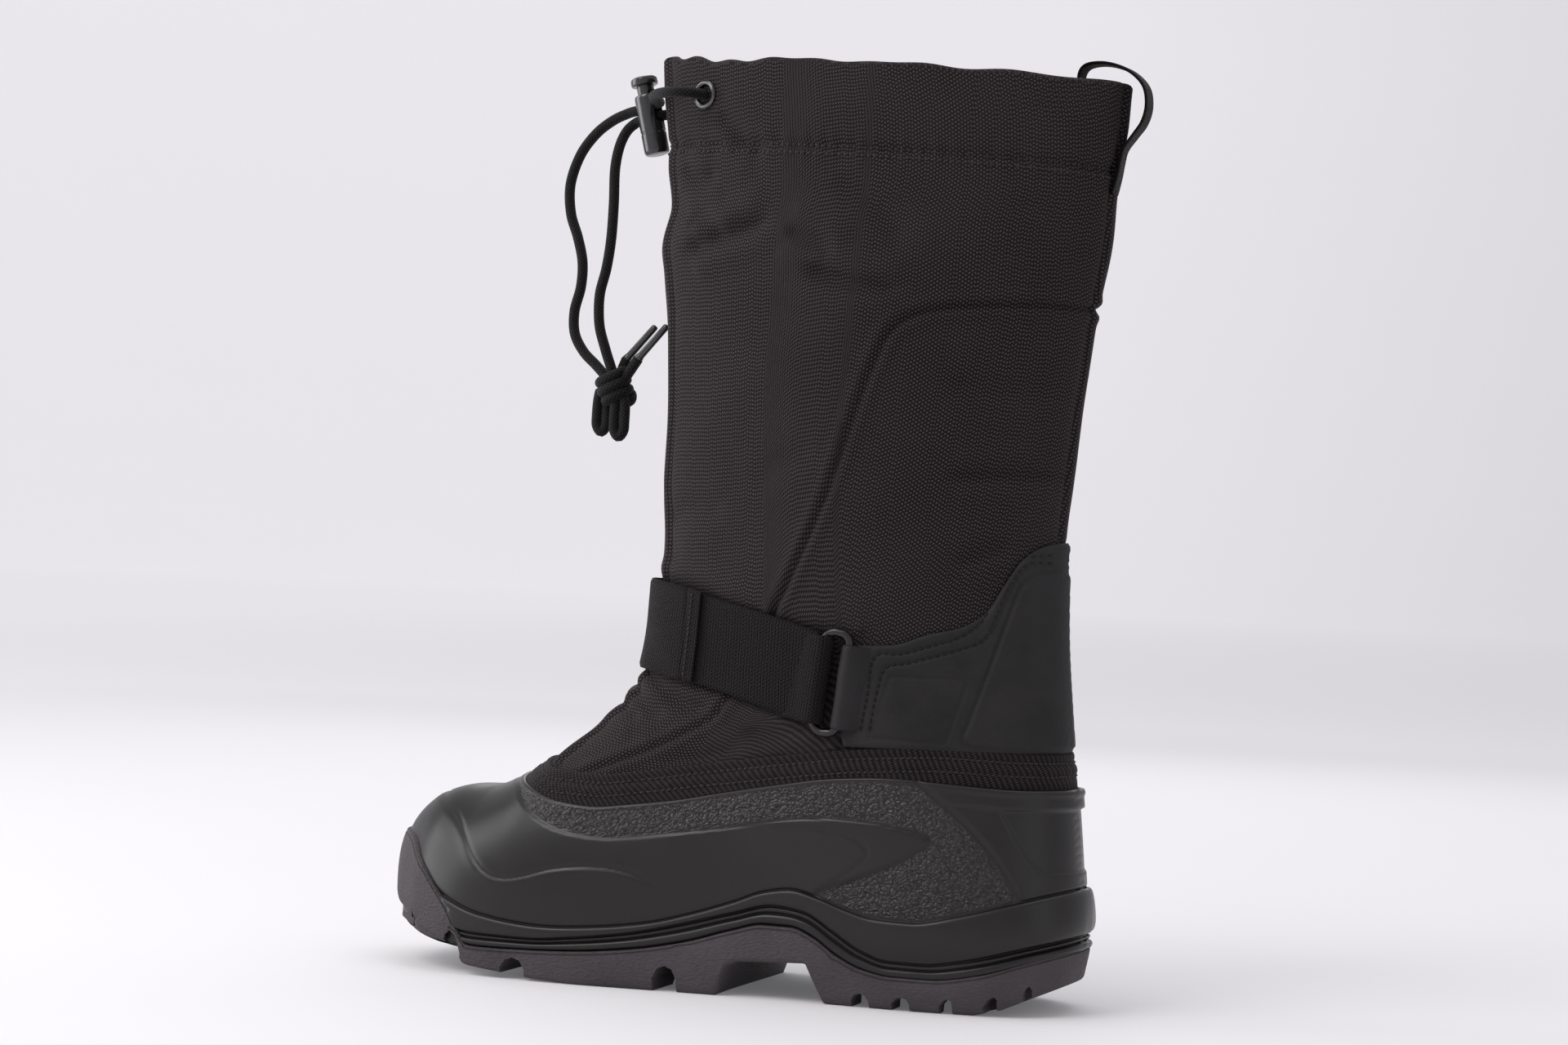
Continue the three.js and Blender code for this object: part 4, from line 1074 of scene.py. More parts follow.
def tube(name, path, radius, around):
    """A closed tube along a path, with slightly domed ends and a UV map in millimetres."""
    tangent = unit(np.gradient(path, axis=0))
    across = np.cross(tangent[0], [0, 0, 1] if abs(tangent[0][2]) < 0.9 else [1, 0, 0])
    sides = []
    for t in tangent:
        across = unit(across - t * np.dot(across, t))
        sides.append((across, np.cross(t, across)))
    first, second = np.array([s[0] for s in sides]), np.array([s[1] for s in sides])
    angle = np.arange(around) * 2 * math.pi / around
    size = np.full(len(path), radius)
    for k, share in ((0, 0.45), (1, 0.85)):
        size[k] = size[-1 - k] = radius * share
    rings = path[:, None] + size[:, None, None] * (np.cos(angle)[None, :, None] * first[:, None]
                                                   + np.sin(angle)[None, :, None] * second[:, None])
    rows = len(path)
    faces, at = grid_faces(rows, around, False, True)
    along = lengths_along(path)
    face_width = 2 * math.pi * radius / around
    uvs = np.stack([along[at[..., 0]], at[..., 1] * face_width], -1).reshape(-1, 2).tolist()
    faces = faces.tolist()
    dome = radius * END_DOME
    ends = [path[0] - tangent[0] * dome, path[-1] + tangent[-1] * dome]
    for row, tip, turn in ((0, rows * around, 1), (rows - 1, rows * around + 1, -1)):
        for c in range(around):
            tri = [row * around + c, row * around + (c + 1) % around, tip][::turn]
            faces.append(tri)
            uvs += [(float(along[row]), 0.0)] * 3
    piece = new_mesh(name, np.vstack([rings.reshape(-1, 3), ends]), faces, uvs)
    outwards(piece)
    return piece


def turned(name, profile, centre, axis, steps=48):
    """A part turned on a lathe: [radius, distance along the axis] spun round it."""
    mesh = bpy.data.meshes.new(name)
    edges = [(i, i + 1) for i in range(len(profile) - 1)]
    mesh.from_pydata([(r * MM, 0, h * MM) for r, h in profile], edges, [])
    piece = bpy.data.objects.new(name, mesh)
    bpy.context.scene.collection.objects.link(piece)
    outwards(piece, lambda: bpy.ops.mesh.spin(steps=steps, angle=2 * math.pi, center=(0, 0, 0),
                                              axis=(0, 0, 1)))
    turn = Vector((0, 0, 1)).rotation_difference(Vector(axis)).to_matrix().to_4x4()
    mesh.transform(Matrix.Translation(Vector(to_frame(centre))) @ turn)
    return piece


def cast(tree, points, directions, reach=120.0):
    """Where lines from points meet a piece: places and normals in the boot's millimetres."""
    hits = []
    for point, direction in zip(to_frame(points), directions):
        place, normal, _, _ = tree.ray_cast(Vector(point), Vector(direction), reach * MM)
        hits.append(None if place is None else (np.array(place) / MM + ORIGIN, np.array(normal)))
    return hits


def stitch_line(tree, points, directions, pitch, share=0.72, closed=False):
    """Stitches along a line that is cast on to a piece: (start, end, normal) of each."""
    points, directions = np.asarray(points, float), np.asarray(directions, float)
    if closed:
        points, directions = (np.vstack([a, a[:1]]) for a in (points, directions))
    along = lengths_along(points)
    count = int(along[-1] // pitch)
    step = along[-1] / count
    ends = []
    for offset in (-share / 2, share / 2):
        at = (np.arange(count) + 0.5 + offset) * step
        p = np.stack([np.interp(at, along, points[:, k]) for k in range(3)], 1)
        d = np.stack([np.interp(at, along, directions[:, k]) for k in range(3)], 1)
        ends.append(cast(tree, p, unit(d)))
    return [(a[0], b[0], (a[1] + b[1]) / 2) for a, b in zip(*ends)
            if a is not None and b is not None and np.linalg.norm(a[0] - b[0]) < pitch * 2]


def side_stitches(tree, line, side, pitch, per_step=8):
    line = curved(line, per_step)
    points = np.stack([line[:, 0], np.full(len(line), side * 100.0), line[:, 1]], 1)
    return stitch_line(tree, points, np.tile([0, -side, 0], (len(points), 1)), pitch)


def row_stitches(tree, line, pitch, count=300):
    """Stitches all the way round the foot on a side line."""
    rows = np.stack([loop_row(raised(line, by), count) for by in (-1, 0, 1)])
    normal = grid_normals(rows, True)[1]
    return stitch_line(tree, rows[1] + normal * 12, -normal, pitch, closed=True)


STITCH_SIDES = 6
STITCH_SHAPE = [  # share of the length, lift and width in thread widths
    (0.0, -0.45, 0.6), (0.14, 0.12, 0.95), (0.5, 0.26, 1.0), (0.86, 0.12, 0.95), (1.0, -0.45, 0.6)]


def stitch_mesh(name, stitches, width):
    """All the stitches of a seam as one mesh: short rounded threads that dip in at their ends."""
    a, b, n = (np.array([s[k] for s in stitches], float) for k in range(3))
    n, t = unit(n), unit(b - a)
    side = unit(np.cross(n, t))
    rings = []
    for share, lift, size in STITCH_SHAPE:
        centre = a + (b - a) * share + n * (lift * width)
        for k in range(STITCH_SIDES):
            turn = 2 * math.pi * k / STITCH_SIDES
            rings.append(centre + (side * math.cos(turn) + n * math.sin(turn)) * (width * size / 2))
    points = np.stack(rings, 1)
    per = points.shape[1]
    loops = per // STITCH_SIDES
    local = []
    for r in range(loops - 1):
        for k in range(STITCH_SIDES):
            j = (k + 1) % STITCH_SIDES
            local.append([r * STITCH_SIDES + k, (r + 1) * STITCH_SIDES + k,
                          (r + 1) * STITCH_SIDES + j, r * STITCH_SIDES + j])
    caps = [list(range(STITCH_SIDES)), list(range(per - STITCH_SIDES, per))[::-1]]
    faces = [[i + s * per for i in f] for s in range(len(points)) for f in local + caps]
    piece = new_mesh(name, points.reshape(-1, 3), faces)
    outwards(piece)
    return piece


# ---------------------------------------------------------------------------------------
# Leather, webbing, metal and plastic
# ---------------------------------------------------------------------------------------

COUNTER_EDGE = [(97, 150.5), (102.5, 114.5), (100.8, 108), (60, 108), (-30, 109), (-30, 198.5),
                (20, 197.5), (28, 195), (35, 189), (41, 178), (47, 166.5), (53, 161.5), (70, 156),
                (82, 151.5)]
COUNTER_PANEL = curved([(-20, 184.6), (20.5, 184.3), (28.7, 183.5), (32.7, 180.8), (35.1, 177),
                        (39.1, 162.5), (44.3, 141.9), (50.5, 118.9), (52.1, 114.5), (50, 111.5),
                        (39.9, 110.6), (27, 110.2), (-20, 110.2)], 4)
COUNTER_LABEL = [(82.6, 138.2), (53.1, 138.4), (52.1, 137.4), (58.9, 112.5), (59.8, 111.7),
                 (89.8, 112.4)]
COUNTER_STITCHES = [
    [(93.8, 114.8), (91.5, 130.3), (89.3, 146.3), (78.3, 147.9), (65.4, 152.4), (55.5, 156.2),
     (49, 162), (45.5, 169), (41.4, 184.1), (34.6, 190), (23.2, 192)],
    [(90, 115.1), (87.7, 130.5), (84.8, 141.5), (76.3, 144), (65.1, 147.6), (51.2, 152.7),
     (45.3, 157.4), (40.8, 170.6), (37.9, 178.9), (32, 187.7), (20.2, 188.1)]]


def clipped(points, x_most):
    """The part of a toe-to-heel line that lies behind x_most."""
    inside = np.nonzero(points[:, 0] <= x_most)[0]
    i = inside[0]
    if i == 0:
        return points
    a, b = points[i - 1], points[i]
    return np.vstack([a + (b - a) * (x_most - a[0]) / (b[0] - a[0]), points[i:]])


def build_counter():
    count, steps = 130, 62
    rows = []
    for k in range(steps + 1):
        share = k / steps
        line = between(COUNTER_LOW, COUNTER_HIGH, share)
        front = np.interp(share, [0, 0.13, 1], [100.8, 102.5, 97])
        outer, inner = (clipped(side_curve(line, side), front) for side in (1, -1))
        rows.append(np.vstack([resampled(inner, count), resampled(outer[::-1], count)[1:]]))
    base = np.stack(rows)
    normal = grid_normals(base, False)
    x, z = base[..., 0], base[..., 2]
    edge = signed_outline(x, z, COUNTER_EDGE)
    out = 2.2 - 0.9 * np.exp(-(np.maximum(edge, 0) / 0.8) ** 2)
    panel = signed_outline(x, z, COUNTER_PANEL)
    out = out + trough(np.abs(panel + 0.6), 0.8, 0.7) + 0.6 * smoothstep(panel, -0.2, 0.8)
    label = signed_outline(x, z, COUNTER_LABEL)
    out = out + trough(np.abs(label), 0.8, 0.65)
    for line in COUNTER_STITCHES:
        gap, _ = distance_to_line(x, z, curved(line, 4))
        out = out + trough(gap, 1.0, 0.7)
    out = out + 0.15 * np.sin(x / 13 + 1) * np.sin(z / 9)
    return slab_piece("heel_counter_leather", base + normal * out[..., None], base + normal * 0.1,
                      uv_of(base, False))


RING_CENTRE, RING_LEAN, RING_WIRE = np.array([106.3, 49.6, 134.3]), math.radians(6), 3.6
RING_WIDTH, RING_HEIGHT, RING_CORNER, RING_SEGMENTS = 12.6, 46.0, 5.0, 56
RING_UP = np.array([-math.sin(RING_LEAN), 0, math.cos(RING_LEAN)])
RING_ACROSS = np.array([math.cos(RING_LEAN), 0, math.sin(RING_LEAN)])


def build_ring_fold(name, side, path, height, rise, thick, wobble):
    """Leather or webbing that comes off the boot, round a leg of the ring and back."""
    path = curved(path, 8)
    path = resampled(np.column_stack([path, np.zeros(len(path))]), 60)[:, :2]
    tangent = unit(np.gradient(path, axis=0))
    out = np.column_stack([-tangent[:, 1], tangent[:, 0]])
    levels = np.linspace(-0.5, 0.5, 33)
    edge = 1 - 0.5 * np.exp(-((0.5 - np.abs(levels)) * height / 0.9) ** 2)
    leg = RING_CENTRE + RING_ACROSS * (side * RING_WIDTH / 2)

    def layer(sign):
        flat = path[None] + out[None] * (sign * thick / 2 * edge[:, None, None])
        flat = flat + wobble * np.sin(levels * 9)[:, None, None] * out[None] * 0.3
        grid = leg + flat[..., :1] * RING_ACROSS + flat[..., 1:] * np.array([0, 1, 0])
        return grid + (levels[:, None, None] * height + rise) * RING_UP
    piece = slab_piece(name, layer(1), layer(-1), uv_of(layer(1), False))
    outwards(piece)
    return piece


COUNTER_FOLD = [(-14, -7.8), (-10.8, -6.1), (-7.4, -3.3), (-3.2, 1.4), (0, 3.35), (2.6, 2.1),
                (3.4, -0.4), (2.2, -3.0), (-1.2, -4.6), (-6, -5.4)]
STRAP_FOLD = [(16, -4.5), (8, -4.6), (2.2, -4.0), (-2.3, -2.5), (-3.4, 0), (-2.2, 2.5), (0.6, 3.35),
              (4.4, 1.9), (8.6, -0.9), (12, -2.5), (15, -4.0), (17.5, -5.6)]
OVERLAP_END_X, OVERLAP_STITCH_X = 169.5, 176.0
STRAP_STEPS = 26  # across the strap
UNDER_FRONT_X = 196.0  # where the strap's lower layers end, under the front one


def cut_at(row, x_end, z_end):
    """A toe-to-heel row that stops at x_end."""
    edge = np.array([x_end, np.interp(-x_end, -row[:, 0], row[:, 1]), z_end])
    return np.vstack([row[row[:, 0] >= x_end], edge])


def strap_band(low, high, outer_x, inner_x, count, stop=None):
    """A grid of the form between two side lines, from x on the outer side, round the front.

    With no inner_x it stays on the outer side and ends at stop.
    """
    rows = []
    for k in range(STRAP_STEPS + 1):
        share = k / STRAP_STEPS
        line = between(low, high, share)
        row = cut_at(side_curve(line, 1), outer_x(share), line(outer_x(share)))[::-1]
        if inner_x is None:
            row = row[row[:, 0] <= stop]
        else:
            inner = cut_at(side_curve(line, -1), inner_x(share), line(inner_x(share)))
            row = np.vstack([row, inner[1:]])
        rows.append(resampled(row, count))
    return np.stack(rows)


WEB = 1.7  # thickness of the webbing


def webbing_slab(name, base, out, thick=WEB):
    """Webbing laid over a grid: rounded woven edges and a slightly wavy surface."""
    normal = grid_normals(base, False)
    share = np.linspace(0, 1, base.shape[0])[:, None]
    height = np.linalg.norm(base[-1] - base[0], axis=-1).mean()
    edge = np.minimum(share, 1 - share) * height
    body = (thick * (1 - 0.45 * np.exp(-(edge / 0.9) ** 2))
            - 0.12 * np.exp(-((edge - 2.2) / 0.5) ** 2))
    wave = 0.15 * np.sin(base[..., 0] / 7) * np.sin(base[..., 2] / 9)
    front = base + normal * (out + body + wave)[..., None]
    back = base + normal * (out + 0.25 * np.exp(-(edge / 0.9) ** 2))[..., None]
    return slab_piece(name, front, back, uv_of(front, False))


def build_straps():
    def ring_edge(share):
        return np.interp(share, [0, 1], [116.6, 112.8])
    under = strap_band(STRAP_LOW, STRAP_HIGH, ring_edge, None, 70, UNDER_FRONT_X)
    lower = webbing_slab("ankle_strap_under", under, np.full(under.shape[:2], 0.2))
    bump = smoothstep(under[..., 0], 112, 126)
    upper = webbing_slab("ankle_strap_return", under, 2.0 + 1.2 * (1 - bump))
    high = raised(STRAP_HIGH, 1.3)

    def end_edge(share):
        return OVERLAP_END_X + 2.0 * (0.5 - share)

    def inner_edge(share):
        return np.interp(share, [0, 1], [104.8, 99.4])
    base = strap_band(STRAP_LOW, high, end_edge, inner_edge, 240)
    x, y = base[..., 0], base[..., 1]
    over = 1 - smoothstep(x, UNDER_FRONT_X, UNDER_FRONT_X + 16)
    out = np.where(y > 0, 0.25 + 3.65 * over, 0.25)
    stitched = trough(np.abs(x - OVERLAP_STITCH_X), 0.8, 0.5) * (y > 0)
    front = webbing_slab("ankle_strap_front", base, out + stitched)
    return front, lower, upper


def build_ring():
    bpy.ops.object.select_all(action="DESELECT")
    bpy.ops.mesh.primitive_torus_add(
        major_radius=RING_CORNER * MM, minor_radius=RING_WIRE / 2 * MM,
        major_segments=RING_SEGMENTS, minor_segments=18, location=(0, 0, 0))
    piece = bpy.context.active_object
    piece.name = piece.data.name = "strap_ring_wire"
    shift_x = (RING_WIDTH / 2 - RING_CORNER) * MM
    shift_y = ((RING_HEIGHT - RING_WIRE) / 2 - RING_CORNER) * MM
    piece.data.transform(Matrix.Rotation(math.pi / RING_SEGMENTS, 4, "Z"))
    for axis, shift in ((0, shift_x), (1, shift_y)):
        for sign in (1, -1):
            for vertex in piece.data.vertices:
                vertex.select = vertex.co[axis] * sign > 0
            bpy.ops.object.mode_set(mode="EDIT")
            bpy.ops.mesh.select_mode(type="VERT")
            move = [0, 0, 0]
            move[axis] = shift * sign
            bpy.ops.transform.translate(value=move)
            bpy.ops.mesh.select_all(action="DESELECT")
            bpy.ops.object.mode_set(mode="OBJECT")
    across, up, out = Vector(RING_ACROSS), Vector(RING_UP), Vector((0, -1, 0))
    turned_to = Matrix((across, up, out)).transposed().to_4x4()
    piece.data.transform(Matrix.Translation(Vector(to_frame(RING_CENTRE))) @ turned_to)
    piece.data.polygons.foreach_set("use_smooth", [True] * len(piece.data.polygons))
    outwards(piece)
    return piece


PULL_PATH = [(8.0, 345), (6.6, 352), (5.4, 359), (4.0, 364), (0, 369.5), (-3.6, 375), (-5, 382),
             (-3.4, 390), (2, 396), (9, 399.3), (16, 400.2), (22.3, 398.6), (24.4, 394),
             (22.5, 388), (18, 380), (16, 366)]
PULL_WIDTH = 12.0


def build_pull_loop():
    line = curved(PULL_PATH, 10)
    line = resampled(np.column_stack([line[:, 0], np.zeros(len(line)), line[:, 1]]), 150)
    tangent = unit(np.gradient(line, axis=0))
    out = np.column_stack([-tangent[:, 2], np.zeros(len(line)), tangent[:, 0]])
    across = np.linspace(-0.5, 0.5, 25)
    edge = (0.5 - np.abs(across)) * PULL_WIDTH
    body = 1.5 * (1 - 0.45 * np.exp(-(edge / 0.8) ** 2))
    along = lengths_along(line)[:, None]
    bend = 0.5 * np.sin(along / 13 + 0.4) * across[None, :] + 0.25 * np.sin(along / 6)
    shift = np.zeros((len(line), len(across), 3))
    shift[..., 1] = (across[None, :] * PULL_WIDTH * (1 - 0.04 * np.sin(along / 9))
                     + 0.3 * np.sin(along / 17))
    middle = line[:, None] + shift + out[:, None] * bend[..., None]
    front = middle + out[:, None] * (body / 2)[None, :, None]
    back = middle - out[:, None] * (body / 2)[None, :, None]
    uv = uv_of(front, False)
    piece = slab_piece("pull_loop_webbing", front, back, uv[..., ::-1])
    outwards(piece)
    return piece


EYELET_PROFILE = [(4.0, -3.2), (4.5, -3.2), (4.6, 0.2), (5.6, 0.4), (6.1, 0.6), (6.2, 1.0),
                  (6.0, 1.4), (5.6, 1.75), (5.1, 1.85), (4.6, 1.65), (4.2, 1.1), (4.0, 0.3),
                  (4.0, -3.2)]
EYELET_PLACE, EYELET_TURN = np.array([183, 27.1, 382]), math.radians(65)


def rounded_box(name, size, centre, axes, bevel):
    """A box with rounded edges: size along each of three axes, in millimetres."""
    bpy.ops.object.select_all(action="DESELECT")
    bpy.ops.mesh.primitive_cube_add(size=1, location=(0, 0, 0))
    piece = bpy.context.active_object
    piece.name = name
    piece.data.transform(Matrix.Diagonal(Vector((*[s * MM for s in size], 1))))
    bpy.ops.object.mode_set(mode="EDIT")
    bpy.ops.mesh.select_all(action="SELECT")
    bpy.ops.mesh.bevel(offset=bevel * MM, segments=4, affect="EDGES")
    bpy.ops.object.mode_set(mode="OBJECT")
    turn = Matrix([list(a) for a in axes]).transposed().to_4x4()
    piece.data.transform(Matrix.Translation(Vector(to_frame(centre))) @ turn)
    return piece


LOCK_FOOT = np.array([217.0, -8.0, 360.0])
LOCK_LEAN = math.radians(14)
LOCK_AXIS = np.array([math.sin(LOCK_LEAN), 0, math.cos(LOCK_LEAN)])
LOCK_THROUGH = np.array([0.912, -0.34, -0.227])
LOCK_SLOT = 19.5  # height at which the cords run through the lock
BARREL_SLOT = (LOCK_SLOT - 5.2, LOCK_SLOT + 5.2, 2.8)  # low, high, half width
BUTTON_SLOT = (10, LOCK_SLOT + 9.6, 2.65)
BARREL_PROFILE = [(0, 0), (4.1, 0), (4.9, 0.25), (5.45, 0.9), (5.65, 1.8), (5.7, 3), (5.7, 9.4),
                  (5.5, 9.7), (5.5, 10.3), (5.7, 10.6), (5.7, 25.4), (5.62, 26.2), (5.35, 26.8),
                  (4.9, 27), (4.45, 26.8), (4.3, 26.3), (4.3, 4.4), (4.0, 4.0), (0, 4.0)]
BUTTON_PROFILE = [(0, 15), (3.6, 15), (3.85, 15.4), (3.85, 31.3), (5.4, 31.3), (5.9, 31.6),
                  (6.05, 32.2), (6.05, 33.6), (5.85, 34.4), (5.3, 34.9), (4.6, 35.0), (4.2, 34.7),
                  (3.4, 34.45), (0, 34.4)]


def cut_slot(piece, low, high, half_width):
    through = unit(LOCK_THROUGH - LOCK_AXIS * np.dot(LOCK_AXIS, LOCK_THROUGH))
    third = unit(np.cross(LOCK_AXIS, through))
    centre = LOCK_FOOT + LOCK_AXIS * (low + high) / 2
    tool = rounded_box("slot_cutter", (20, 2 * half_width, high - low), centre,
                       (through, third, LOCK_AXIS), 1.6)
    apply_modifier(piece, "BOOLEAN", object=tool, operation="DIFFERENCE", solver="EXACT")
    bpy.data.objects.remove(tool)


def build_lock():
    barrel = turned("cord_lock_case", BARREL_PROFILE, LOCK_FOOT, LOCK_AXIS, 64)
    cut_slot(barrel, *BARREL_SLOT)
    button = turned("cord_lock_push", BUTTON_PROFILE, LOCK_FOOT, LOCK_AXIS, 64)
    cut_slot(button, *BUTTON_SLOT)
    return barrel, button


# ---------------------------------------------------------------------------------------
# Cords
# ---------------------------------------------------------------------------------------

CORD_DIAMETER = 4.6
CORD_ROUTES = {  # the eyelet's bore, round the collar, through the lock, and down to the knot
    "drawcord_front": [
        (182.6, 26.2, 382), (183.7, 28.5, 382), (184.9, 31.1, 382), (187.5, 35.5, 382),
        (192.5, 37.5, 382), (199, 34.5, 382), (205.5, 27, 382.2), (210.5, 17.5, 382.4),
        (213.6, 8, 382.6), (215, 0, 382.6), (216.4, -4.9, 382.6), (222.3, -8, 381.2),
        (227.9, -10.1, 379.8), (233, -11.8, 378.8), (241, -13, 375.5), (249, -13.6, 369.5),
        (256, -13.8, 360), (260, -13.6, 347), (259, -13.2, 334), (254.8, -12.6, 323),
        (251.8, -12, 312), (251.8, -11.5, 301), (254, -10.8, 290), (253, -10, 280), (248, -9, 272),
        (241.5, -8, 266.3), (237.4, -7, 262.6), (233.5, -6, 259)],
    "drawcord_rear": [
        (182.6, -26.2, 382), (183.7, -28.5, 382), (184.9, -31.1, 382), (187.5, -35.5, 382),
        (192.5, -37.5, 381.6), (199, -35.4, 380.6), (205, -29.5, 379.4), (209, -22, 378.5),
        (211.4, -15, 378), (214.2, -8.9, 377.8), (221.1, -8, 376.6), (226.7, -10.1, 375.2),
        (229.3, -10.7, 374.1), (232.8, -9.8, 370.5), (235.3, -8.2, 363.5), (236.4, -6.8, 353),
        (235.8, -5.8, 338), (236, -5.2, 322), (237.4, -4.8, 309), (239.8, -4.4, 297),
        (239.2, -4.2, 284), (236, -4.4, 273.5), (233.2, -4.8, 265.8), (231.4, -4.8, 261)]}
CORD_REPLACES = {"drawcord_front": ("drawcord_to_lock_outer", "drawcord_strand_front"),
                 "drawcord_rear": ("drawcord_to_lock_inner", "drawcord_strand_rear")}
CORD_ENDS = {
    "cord_loop_front": [
        (238.0, -6.6, 256), (239.1, -7, 250.3), (239.4, -7, 243), (239.1, -7, 239.2),
        (237, -7, 236.6), (234.9, -7, 239.2), (234.6, -7, 243), (234.5, -7, 248.6),
        (233.6, -6, 254)],
    "cord_loop_rear": [
        (229.2, -4, 254), (229.5, -3.2, 248.6), (229.6, -3.2, 241), (229.3, -3.2, 237.2),
        (227.2, -3.2, 234.6), (225.1, -3.2, 237.2), (224.8, -3.2, 241), (224.9, -3.2, 249),
        (226.4, -3.9, 254)],
    "cord_tail_front": [
        (229.5, -6.3, 261), (228.2, -6.8, 265), (226.6, -7, 269.2), (225.9, -7, 270.1)],
    "cord_tail_rear": [
        (227, -3.6, 258.6), (223.4, -3, 263.4), (219.2, -2.3, 269.4), (218.5, -2.2, 270.3)]}
CORD_END_NODES = {"cord_loop_front": "drawcord_loop_front", "cord_loop_rear": "drawcord_loop_rear",
                  "cord_tail_front": "drawcord_tail_front", "cord_tail_rear": "drawcord_tail_rear"}
KNOT_CENTRE = np.array([231.0, -5.0, 257.0])
TIP_PLACES = {"cord_tip_front": ((226.6, -7, 269.2), (213.5, -7, 284.2)),
              "cord_tip_rear": ((219.3, -2.2, 269.3), (206.2, -2, 284.4))}
TIP_PROFILE = [(0, -0.1), (1.7, -0.1), (1.95, 0.2), (2.0, 0.8), (1.75, 1.5), (1.65, 2.2),
               (1.58, 11), (1.5, 18.9), (1.3, 19.6), (0.8, 19.95), (0, 20)]


def knot_path():
    """Two and a half turns round the strands, then a bight that tucks under the turns."""
    turns = np.linspace(0, 2.55 * 2 * math.pi, 60)
    share = turns / turns[-1]
    lean = np.array([0.32, 0.1, 0.94])
    side, deep = np.array([0.94, 0, -0.32]), np.array([0.0, 1.0, -0.1])
    width = 6.3 - 0.9 * np.abs(share - 0.5) * 2
    path = KNOT_CENTRE + ((share - 0.5) * 10.6)[:, None] * lean \
        + (np.cos(turns) * width)[:, None] * side + (np.sin(turns) * (width - 1.6))[:, None] * deep
    bight = np.array([(226.0, -9.5, 254.5), (223.6, -7.2, 251.6), (225.4, -4.6, 249.8),
                      (229.4, -5.2, 251)])
    start = KNOT_CENTRE + np.array([2.2, 0.5, 1.0])
    return np.vstack([start, path[::-1], bight])


# ---------------------------------------------------------------------------------------
# Settings
# ---------------------------------------------------------------------------------------

def color_setting(name, description, default):
    return FloatVectorProperty(name=name, description=description, default=default, subtype="COLOR",
                               size=3, min=0, max=1)


class BootSizes(bpy.types.PropertyGroup):
    weave_pitch: FloatProperty(name="Weave pitch", default=1.3, min=0.3, max=3,
                               description="Distance between the nylon's threads, in millimetres")
    rib_pitch: FloatProperty(name="Rib pitch", default=1.5, min=0.5, max=4,
                             description="Distance between the webbing's ribs, in millimetres")
    stitch_pitch: FloatProperty(name="Stitch pitch", default=2.9, min=1.5, max=8,
                                description="Distance from one stitch to the next, in millimetres")
    stitch_width: FloatProperty(name="Thread width", default=0.9, min=0.2, max=2,
                                description="Width of the sewing thread, in millimetres")
    cord_diameter: FloatProperty(name="Cord diameter", default=CORD_DIAMETER * MM, min=0.002,
                                 max=0.008, unit="LENGTH", description="Diameter of the drawcord")
    floor_radius: FloatProperty(name="Floor radius", default=9.0, min=3, max=30, unit="LENGTH",
                                description="Radius of the pale floor before it curves up")
    lens: FloatProperty(name="Lens", default=79.6, min=20, max=200, unit="CAMERA",
                        description="Focal length of the camera")
    around: IntProperty(name="Cord sides", default=20, min=8, max=48,
                        description="Faces round the drawcord")


class BootColors(bpy.types.PropertyGroup):
    nylon: color_setting("Nylon", "Shaft and vamp fabric", (0.0138, 0.0109, 0.0114))
    gaiter: color_setting("Gaiter", "Fabric band over the shell's edge", (0.0100, 0.0076, 0.0081))
    rubber: color_setting("Shell rubber", "Moulded shell", (0.0088, 0.0070, 0.0074))
    tread: color_setting("Tread rubber", "Outsole", (0.0560, 0.0484, 0.0525))
    leather: color_setting("Leather", "Heel counter", (0.0175, 0.0163, 0.0170))
    webbing: color_setting("Webbing", "Strap and pull loop", (0.0040, 0.0032, 0.0034))
    cord: color_setting("Cord", "Drawcord", (0.0050, 0.0042, 0.0044))
    thread: color_setting("Thread", "Stitching", (0.0160, 0.0140, 0.0145))
    ring: color_setting("Ring", "Ring of the strap", (0.050, 0.048, 0.050))
    eyelet: color_setting("Eyelets", "Eyelets of the collar", (0.11, 0.107, 0.11))
    plastic: color_setting("Plastic", "Cord lock", (0.012, 0.012, 0.013))
    tip: color_setting("Cord tips", "Tips of the drawcord", (0.02, 0.02, 0.021))
    lining: color_setting("Lining", "Lining and insole", (0.035, 0.033, 0.034))
    floor: color_setting("Floor", "Floor and backdrop", (0.72, 0.705, 0.725))


# ---------------------------------------------------------------------------------------
# Steps
# ---------------------------------------------------------------------------------------

class BootStep:
    """What every step shares: the settings, and being undoable."""
    bl_options = {"REGISTER", "UNDO"}

    def sizes(self, context):
        return context.scene.boot_sizes

    def colors(self, context):
        return {key: tuple(getattr(context.scene.boot_colors, key))
                for key in BootColors.__annotations__}


